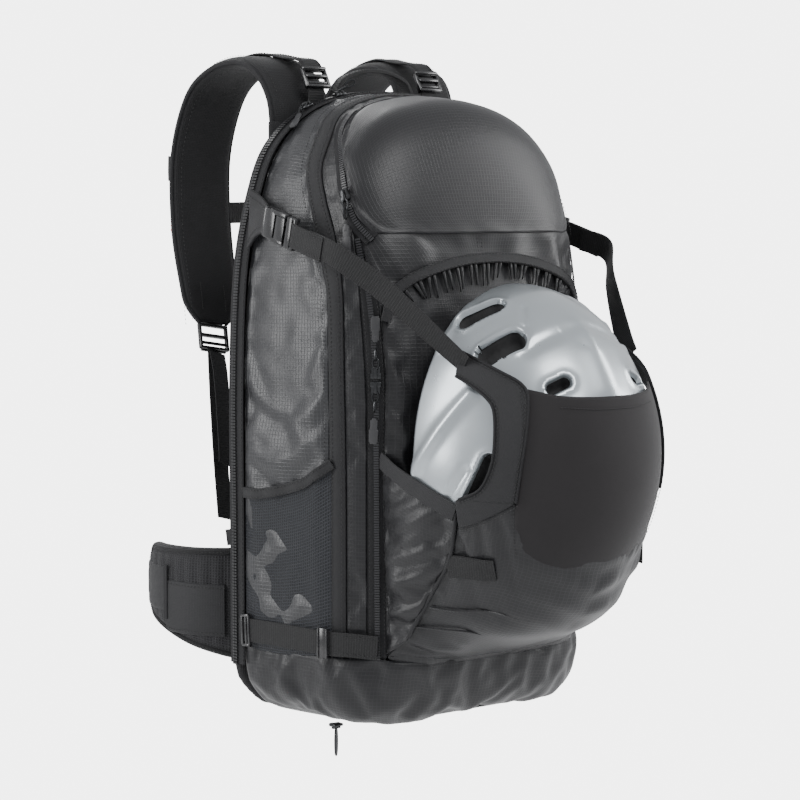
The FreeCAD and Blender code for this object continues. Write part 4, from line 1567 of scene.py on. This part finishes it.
piece = moulding(
    "chest_socket", Vector((-7, 144.5, 321)) * MM, across_chest, wearerward,
    [
        (
            (-8.5, 0, 0), (17, 25.5, 9.4), 2.4,
        ), ((8, -10.8, 0), (22, 4.4, 9), 1.8), ((8, 10.8, 0), (22, 4.4, 9), 1.8),
        ((12.5, 0, 4), (11, 22, 1.6), 0.7), ((7, 0, -4), (20, 22, 1.6), 0.7), (
            (-1.5, 0, 4.2), (6, 22, 1.4), 0.6,
        ),
    ],
    acetal, "chest_strap",
)
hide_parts("chest_buckle_socket")
piece = moulding(
    "chest_tongue", Vector((18, 144.4, 321)) * MM, across_chest, wearerward,
    [
        ((0.5, 0, 0), (13.5, 25.5, 9), 2.2), ((-11, 0, -1.4), (16, 4, 2.4), 0.8), (
            (-10.5, -6.6, -1.4), (15, 3, 2.8), 0.9,
        ),
        ((-10.5, 6.6, -1.4), (15, 3, 2.8), 0.9),
    ],
    acetal, "chest_strap",
)
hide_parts("chest_buckle_tongue")
grey_plastic = moulded("button_grey", (0.09, 0.095, 0.1), 0.4, relief=0.1)
piece = moulding(
    "chest_button", Vector((-1, 148.6, 321)) * MM, across_chest, wearerward,
    [
        ((0, 0, 0), (9, 9, 3.8), 1.6), ((-2, 0, 1.7), (1, 6, 0.8), 0.3), ((0, 0, 1.7), (1, 6, 0.8), 0.3),
        ((2, 0, 1.7), (1, 6, 0.8), 0.3),
    ],
    grey_plastic, "chest_buckle_button",
)
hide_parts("chest_buckle_button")


# Hip wings: quilted foam wings with bound edges and a smooth zipped pocket, tapering to the webbing.
# Each ends in one half of the waist buckle.
wing_mesh = textile(
    "wing_mesh", (0.013, 0.013, 0.0142), 0.75, 0.0026, 0.0026, 0.3, grain=0.5, relief=0.8, sheen=0.05,
)
wing_path = [
    (-104, -4, 0), (-118, 5, 0), (-136, 19, 0), (-151, 42, 0), (-156, 72, 0), (-153, 97, 0), (-143, 120, 0),
]
WING_HALF_THICK = 0.0056
RIB_PITCH = 0.0125
POCKET_START = 0.26
POCKET_END = 0.66
TIP_END = 0.95


def wing_low(t):
    return (-66 + 40 * max(0, t - 0.12) ** 1.15) * MM


def wing_high(t):
    return (28 - 4 * t - 14 * max(0, t - 0.86) / 0.14) * MM


def wing_profile(t, ribs=True, start=0.0, end=1.0, low=None, high=None, lift=0.0, thick=None):
    """Wing section at a share of the way: (height, out) pairs between its lower and upper edges."""
    t = start + (end - start) * t
    bottom = wing_low(t) if low is None else low
    top = wing_high(t) if high is None else high
    h, c = (top - bottom) / 2, (top + bottom) / 2
    k = WING_HALF_THICK if thick is None else thick
    rib = 0.0017 * abs(math.sin(math.pi * t * WING_LENGTH / RIB_PITCH)) if ribs else 0
    shape = [
        (-1, 0.25), (-0.95, 0.7), (-0.82, 0.95), (-0.4, 1), (0, 1), (0.4, 1), (0.82, 0.95), (0.95, 0.7),
        (1, 0.25),
    ]
    outer = [
        (
            c + a * h, lift + b * k + (rib if abs(a) < 0.6 else rib * 0.4 if abs(a) < 0.9 else 0),
        ) for a, b in shape
    ]
    inner = [(c + a * h, lift - b * k) for a, b in shape[::-1]]
    return outer + inner


for side, flip in (("left", lambda p: p), ("right", mirror_points)):
    body = "hip_wing_" + side
    frames = along_free(flip(wing_path), Vector((0, 0, 1)), 0.0025)
    away = Vector((-1 if side == "left" else 1, 0, 0))
    frames = turned(frames, len(frames) // 2, away)
    WING_LENGTH = 0.0025 * (len(frames) - 1)
    up = 1 if frames[0][2].cross(frames[0][1]).z > 0 else -1

    def upright(t, **given):
        return [(a * up, b) for a, b in wing_profile(t, **given)]

    piece = swept("hip_wing_pad_" + side, frames, upright, wing_mesh, None, sharp=80)
    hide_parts("hip_wing_" + side)
    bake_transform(piece)
    for edge, height in (("top", wing_high), ("bottom", wing_low)):
        line = []
        for k, (q, a, o) in enumerate(frames):
            t = k / (len(frames) - 1)
            line.append((q + Vector((0, 0, height(t))), a, o))
        binding = swept(
            "wing_edge_%s_%s" % (edge, side), line, round_cord(0.0036, 10, 1.5), strap_cloth, None,
        )
        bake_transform(binding)
        sew(body, line[16:], 0, WING_HALF_THICK * 0.98)
    n = len(frames)
    face = frames[int(n * POCKET_START):int(n * POCKET_END)]
    pocket = swept(
        "wing_pocket_" + side, face,
        lambda t: upright(
            t, ribs=False, start=POCKET_START, end=POCKET_END, low=-0.047, high=-0.001, lift=0.0062,
            thick=0.0022,
        ),
        wing_cloth, body, sharp=80,
    )
    for z in (-0.044, -0.004):
        sew(body, [(q + Vector((0, 0, z)), a, o) for q, a, o in face], 0, 0.0084)
    tip = frames[int(n * POCKET_END):int(n * TIP_END)]
    swept(
        "wing_front_" + side, tip,
        lambda t: upright(
            t, ribs=False, start=POCKET_END, end=TIP_END, low=-0.030, high=0.010, lift=0.0058, thick=0.0016,
        ),
        wing_cloth, body, sharp=80,
    )
    q, a, o = frames[int(n * POCKET_END) - 1]
    post = [(q + Vector((0, 0, z)) + o * 0.0082, Vector((0, 0, 1)), o) for z in (-0.036, -0.02, 0.0, 0.012)]
    swept("wing_seam_66_" + side, post, flat(0.005, 0.0012), tape_cloth, body)
    web = flip([(-146, 112, -12), (-140, 128, -19), (-126, 143, -27), (-97, 156.5, -28), (-60, 161, -28)])
    strip = along_free(web, Vector((0, 0, 1)), 0.004)
    piece = swept("waist_webbing_" + side, strip, flat(0.037, 0.002, -0.001), webbing_look, body)
    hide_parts("hip_webbing_" + side)

piece = moulding(
    "waist_socket", Vector((-40.8, 161, -28)) * MM, Vector((1, 0, 0)), Vector((0, 1, 0)),
    [
        ((0, 0, 5.2), (40, 43, 1.8), 0.8), (
            (0, 0, -5.2), (40, 43, 1.8), 0.8,
        ), ((-13, 0, 0), (14, 43, 11.6), 2.6),
        (
            (7, -19.4, 0), (27, 4.6, 11.6), 1.8,
        ), ((7, 19.4, 0), (27, 4.6, 11.6), 1.8), ((-20.5, 0, 0), (3.5, 41, 6), 1.4),
    ],
    acetal, "hip_wing_left",
)
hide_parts("waist_buckle_socket")
piece = moulding(
    "waist_tongue", Vector((38, 161, -28)) * MM, Vector((1, 0, 0)), Vector((0, 1, 0)),
    [
        (
            (15.5, 0, 0), (15, 43.5, 11.6), 2.8,
        ), ((-7, -11, 0), (33, 5, 5.4), 1.6), ((-7, 0, 0), (33, 4, 4.6), 1.4),
        ((-7, 11, 0), (33, 5, 5.4), 1.6), ((-20, -12, 0), (6, 7, 5.4), 1.8), ((-20, 12, 0), (6, 7, 5.4), 1.8),
    ],
    acetal, "hip_wing_right",
)
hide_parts("waist_buckle_tongue")


# Back panel: a foam panel with raised air-mesh pads, a lumbar pad, and the yoke and hip belt base.
# A foam spine protector lies on its inner face.
def padded_copy(name, nodes, material, body, voxel=0.005, pressure=4.0, cap=0.004, smooth=6):
    """Swollen foam piece in the place of its nodes: remeshed, blown up a little as cloth, then smoothed."""
    bm = bmesh.new()
    for node in nodes:
        bm.from_mesh(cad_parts[node].data)
    bmesh.ops.remove_doubles(bm, verts=bm.verts, dist=1e-6)
    mesh = bpy.data.meshes.new(name)
    bm.to_mesh(mesh)
    bm.free()
    piece = bpy.data.objects.new(name, mesh)
    bpy.context.scene.collection.objects.link(piece)
    remesh = piece.modifiers.new("remesh", "REMESH")
    remesh.mode = "VOXEL"
    remesh.voxel_size = voxel
    soften = piece.modifiers.new("soften", "SMOOTH")
    soften.factor = 0.5
    soften.iterations = smooth
    shaped = piece.evaluated_get(bpy.context.evaluated_depsgraph_get())
    piece.data = bpy.data.meshes.new_from_object(shaped)
    piece.modifiers.clear()
    piece.data.materials.clear()
    piece.vertex_groups.new(name="sewn")
    if pressure:
        rest = [v.co.copy() for v in piece.data.vertices]
        cloth = piece.modifiers.new("cloth", "CLOTH")
        cloth.settings.use_pressure = True
        cloth.settings.uniform_pressure_force = pressure
        cloth.settings.effector_weights.gravity = 0
        for step in range(1, 17):
            bpy.context.scene.frame_set(step)
        places = [
            v.co.copy() for v in piece.evaluated_get(bpy.context.evaluated_depsgraph_get()).data.vertices
        ]
        piece.modifiers.remove(cloth)
        bpy.context.scene.frame_set(1)
        for vertex, start, place in zip(piece.data.vertices, rest, places):
            move = place - start
            if move.length > cap:
                move *= cap / move.length
            vertex.co = start + move
    finer = piece.modifiers.new("finer", "SUBSURF")
    finer.levels = 1
    finer.render_levels = 1
    for polygon in piece.data.polygons:
        polygon.use_smooth = True
    piece.data.materials.append(material)
    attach(piece, body)
    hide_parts(*nodes)
    return piece


panel_cloth = textile(
    "panel_cloth", (0.011, 0.011, 0.012), 0.7, 0.0018, 0.0018, 0.3, grain=0.4, relief=0.6, plan=True,
)
pad_mesh = textile(
    "pad_mesh", (0.015, 0.015, 0.0165), 0.85, 0.0036, 0.0036, 0.25, grain=0.9, relief=1.0, plan=True,
)
padded_copy(
    "back_panel_foam", ["back_panel"], panel_cloth, "back_panel", 0.006, 0.0, smooth=4,
)
padded_copy(
    "back_pads_mesh", ["back_pads", "lumbar_pad"], pad_mesh, "back_panel", 0.004, 3.0,
    0.003, 5,
)
padded_copy(
    "yoke_foam", ["shoulder_yoke", "hip_belt_base"], panel_cloth, "back_panel", 0.004, 0.0,
    smooth=4,
)
protector_foam = textile(
    "protector_foam", (0.05, 0.052, 0.055), 0.8, 0.011, 0.011, 0.1, grain=0.4, relief=0.9, plan=True,
)
padded_copy(
    "protector_plate", ["back_protector"], protector_foam, "back_panel", 0.004, 0.0, smooth=2,
)


# Lining: light grey cloth inside the main compartment, seen when the bag is opened.
# A wall divides it from the front compartment, and a floor closes it below.
LINING_LIFT = -0.0055
lining_cloth = textile("lining", (0.16, 0.165, 0.17), 0.6, 0.0012, 0.0012, 0.3, grain=0.2)
mouth = [(-118, -31, -80), (-140, -31, -66), (-150, -31, -40)] + [(x, -31, z) for x, z in RIM[1:]]
rear_line = mouth + mirror_points(mouth[:-1])[::-1]
front_line = [(x * 0.8, -146, z * 0.93 if z > 0 else z * 0.97) for x, _, z in rear_line]
piece = panel("compartment_lining", rear_line, front_line, LINING_LIFT, step=0.01)
finish_cloth(piece, lining_cloth, "main_bag", thick=0.0008)
def inner_reach(y, z):
    """Half the compartment's width at one depth and height, inside the lining."""
    return abs(on_form(Vector((-0.3, y, z)))[0].x) - 0.014


wall_rows = []
for i in range(24):
    z = (-60 + i * (330 / 23)) * MM
    wall_rows.append([Vector((x / 8 * inner_reach(-0.1465, z), -0.1465, z)) for x in range(-8, 9)])
piece = sheet_mesh("compartment_divider", wall_rows, Vector((0, 1, 0)))
finish_cloth(piece, lining_cloth, "main_bag", thick=0.0008, levels=0)
floor_rows = [
    [
        Vector((x / 2 * min(0.1, inner_reach(y, -0.07)), y, -0.07)) for x in range(-2, 3)
    ] for y in (-0.031, -0.07, -0.1, -0.13)
]
piece = sheet_mesh("compartment_floor", floor_rows, Vector((0, 0, 1)))
finish_cloth(piece, lining_cloth, "main_bag", thick=0.0008, levels=0)


# Airbag system: a gas cylinder in two clamps, its valve head with the puncture pin, and the hose and
# cable that stay fixed inside the compartment. The folded airbag lies packed under the bag's crown.
def dress(node, material):
    """Gives a CAD node a worked material."""
    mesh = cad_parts[node].data
    mesh.materials.clear()
    mesh.materials.append(material)


dress(
    "gas_cylinder",
    moulded("cylinder_alloy", (0.55, 0.56, 0.58), 0.32, metallic=0.95, grain=0.05, scale=160),
)
dress("cylinder_clamps", acetal)
dress("valve_head", moulded("valve_alloy", (0.12, 0.12, 0.13), 0.38, metallic=0.9, grain=0.08, scale=300))
dress("puncture_pin", moulded("pin_steel", (0.62, 0.62, 0.64), 0.22, metallic=1.0, grain=0.04, scale=500))
dress("inflation_hose", moulded("hose_rubber", (0.015, 0.015, 0.016), 0.55, relief=0.3))
dress("trigger_cable", moulded("cable_jacket", (0.02, 0.02, 0.022), 0.45, relief=0.2))
airbag_cloth = textile("airbag_cloth", (0.55, 0.13, 0.02), 0.5, 0.0045, 0.0045, 0.88, grain=0.3, plan=True)
piece = padded_copy(
    "airbag_roll", ["folded_airbag"], airbag_cloth, "back_panel", 0.0045, 0.0, smooth=5,
)
for vertex in piece.data.vertices:
    fold = noise.noise(Vector((vertex.co.x * 30, vertex.co.y * 110, vertex.co.z * 30)))
    vertex.co += vertex.normal * (0.0016 * fold - 0.0012)
dress(
    "lower_strap_anchors",
    textile("anchor_webbing", (0.010, 0.010, 0.011), 0.6, 0.0024, 0.0024, 0.3, grain=0.4, plan=True),
)


# Release handle: a red pull grip on the left strap, held in a webbing sleeve.
# Pulling it down draws the puncture pin's cable.
grip_red = moulded("grip_red", (0.52, 0.05, 0.022), 0.42, grain=0.12, relief=0.35)
grip_ribs = [((z, 0, 5.3), (1.4, 9.5, 1.4), 0.5) for z in range(-14, 15, 4)]
piece = moulding(
    "release_grip", Vector((-99.5, 146, 319)) * MM, Vector((0, 0, 1)), Vector((0, 1, 0)),
    [
        ((0, 0, 0), (37.5, 12.6, 10.4), 3.6), ((27, 0, 0), (40, 7.6, 3.8), 1.2),
        ((19, 0, 0), (4, 10, 6), 1.6),
    ] + grip_ribs,
    grip_red, "release_handle",
)
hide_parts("release_handle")
sleeve_path = [(-99, 146, 350), (-99, 146.2, 358), (-99, 146, 365), (-99, 145.6, 372)]
frames = along_free(sleeve_path, Vector((1, 0, 0)), 0.003)
outer = [
    (a * 0.0088, b * 0.0058) for a, b in (
        (-1, -0.6), (-1, 0.6), (-0.8, 1), (0.8, 1), (1, 0.6), (1, -0.6), (0.8, -1), (-0.8, -1),
    )
]
piece = swept("release_sleeve_webbing", frames, outer, webbing_look, "shoulder_harness")
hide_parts("release_sleeve")


# Sliders: small metal sliders, each with a cord or chain pull that hangs from it.
# A bridge on top of each one takes its pull.
slider_metal = moulded("slider_metal", (0.035, 0.036, 0.038), 0.3, metallic=0.8, grain=0.1)
pull_rubber = moulded("pull_rubber", (0.022, 0.022, 0.024), 0.5, relief=0.2)


def slider(name, place, along, out, body, node=None):
    """A slider's body with its bridge, on the teeth at one place."""
    piece = moulding(
        name, place, along, out,
        [((0, 0, 0), (10.5, 7.6, 2.6), 1.0), ((-2.5, 0, 0.2), (5, 9.2, 3.2), 1.2),
         ((0, 0, 2.8), (8, 2.6, 1.4), 0.5),
         ((-3.4, 0, 1.8), (1.6, 2.6, 3), 0.5), ((3.4, 0, 1.8), (1.6, 2.6, 3), 0.5)],
        slider_metal, body,
    )
    if node:
        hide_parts(node)
    return piece


def oval(name, place, along, out, length, width, wire, body):
    """One chain link or wire loop that hangs from place along its length."""
    side = out.cross(along).normalized()
    line = []
    for k in range(21):
        a = 2 * math.pi * k / 20
        bulge = along * (length / 2 * (1 - math.cos(a))) + side * (width / 2 * math.sin(a))
        line.append(place + bulge)
    return swept(name, directed(line, [out] * len(line)), round_cord(wire, 6), slider_metal, body)


def pull(name, place, down, out, body, drop, tab=(24, 7)):
    """Chain-like pull: two links and a moulded oval tab."""
    oval(name + "_link_a", place, down, out, 0.009, 0.0052, 0.0008, body)
    oval(name + "_link_b", place + down * 0.0075, down, out.cross(down), 0.009, 0.005, 0.0008, body)
    centre = place + down * (drop - tab[0] * MM / 2)
    moulding(
        name + "_tab", centre, down, out,
        [((0, 0, 0), (tab[0], tab[1], 1.8), 0.85), ((tab[0] * 0.16, 0, 0),
         (tab[0] * 0.55, tab[1] + 1.6, 2.2), 1.0),
         ((-tab[0] * 0.42, 0, 0), (tab[0] * 0.3, tab[1] * 0.6, 2.0), 0.9)],
        pull_rubber, body,
    )


place, out = on_form(Vector((-113.5, -132, 335)) * MM, 0.0042)
zip_way = Vector((2, 27, 48)).normalized()
slider("top_pocket_slider_metal", place, zip_way, out, "top_pocket_slider", "top_pocket_slider")
start = place + out * 0.002 - zip_way * 0.004
hang = (on_form(Vector((-119, -142, 284)) * MM, 0.006)[0] - start).normalized()
pull(
    "top_pocket_pull", start, hang, (out - hang * out.dot(hang)).normalized(), "top_pocket_slider", 0.046,
    (24, 6.4),
)
for name, z, end in (("upper", 193, 238), ("lower", 181, 136)):
    place, out = on_form(Vector((-110, -165, z)) * MM, 0.0038)
    body = "front_zip_slider_" + name
    way = Vector((0, 0, 1 if name == "upper" else -1))
    slider(body + "_metal", place, way, out, body, body)
    start = place + out * 0.0025 + way * 0.003
    target = on_form(Vector((-111, -163.5, end)) * MM, 0.0042)[0]
    pull(body + "_pull", start, (target - start).normalized(), out, body, 0.043, (20, 6.2))
rim_frames = around_rim(ZIP_PLANE, 0.0036, 0.004)
for name, x, tab in (("lower", -79, True), ("upper", -41, False)):
    body = "main_zip_slider_" + name
    place, way, out = min(rim_frames, key=lambda f: abs(f[0].x / MM - x) + (1 if f[0].x > 0 else 0))
    slider(body + "_metal", place, way, out, body, body)
    start = place + out * 0.0034
    if tab:
        down = (on_form(Vector((-108, -42, 390)) * MM, 0.005)[0] - start).normalized()
        pull(body + "_pull", start, down, (out - down * out.dot(down)).normalized(), body, 0.036, (19, 5.4))
    else:
        rise = Vector((0.5, -0.25, 0.35)).normalized()
        facing = (out - rise * out.dot(rise)).normalized()
        oval(body + "_link_a", start, rise, facing, 0.009, 0.0052, 0.0008, body)
        oval(body + "_link_b", start + rise * 0.0075, rise, facing.cross(rise), 0.009, 0.0052, 0.0008, body)
base_place = Vector((-94, -88, -112.5)) * MM
slider(
    "rain_cover_slider_metal", base_place, Vector((1, 0, 0)), Vector((0, 0, -1)), "rain_cover_slider",
    "rain_cover_slider",
)
oval("rain_cover_loop", base_place + Vector((0, 0, -0.003)), Vector((0, 0, -1)), Vector((0.6, -0.8, 0)),
    0.0235, 0.0058, 0.001,
     "rain_cover_slider")


# Front panel's arch: a bound opening above the helmet, with gathered pleats below the binding.
# The cloth below the binding is gathered into it.
arch = [(-100.5, -167, 234), (-97, -169, 254), (-81, -173, 268), (-43, -177, 280), (0, -177, 284)]
arch_all = arch + mirror_points(arch[:-1])[::-1]
frames = along_form(arch_all, 0.0032)
swept("arch_binding", frames, flat(0.0085, 0.0032, -0.001), band_cloth, "main_bag")
for across in (-0.0032, 0.0032):
    sew("main_bag", frames, across, 0.0024)
PLEATS = 34
PLEAT_FROM = 0.246
for k in range(PLEATS):
    place, along, out = frames[int((k + 0.5) / PLEATS * len(frames))]
    if place.z < PLEAT_FROM:
        continue
    inward = out.cross(along)
    if inward.dot(Vector((0, 0, 0.15)) - place) < 0:
        inward = -inward
    lean = along * (0.35 * noise.noise(place * 90))
    reach = 0.017 + 0.009 * noise.noise(place * 55 + Vector((4, 0, 0)))
    line = []
    for step in range(6):
        t = step / 5
        line.append(
            on_form(place + (inward + lean).normalized() * (0.003 + reach * t), 0.0022 * (1 - t * t))[0]
        )
    swept(
        "pleat_%02d" % k, directed(line, [out] * 6), lambda t: round_cord(0.0021 * (1 - 0.75 * t), 6, 0.8),
        black_ripstop, "main_bag", sharp=120,
    )
for across in (0.002, -0.002):
    sew("main_bag", along_form([(-13, -176, 300), (-13, -177, 287)], 0.0035), across)


# Stitching: every seam's stitches, made as one piece for each body.
# Each stitch is a short raised thread.
thread_black = moulded("thread", (0.006, 0.006, 0.0065), 0.6)
for body, frames in seams.items():
    row_of_units(
        "stitching_" + body, frames, (0.0026, 0.0007, 0.0007), thread_black, body, rounding=1,
    )
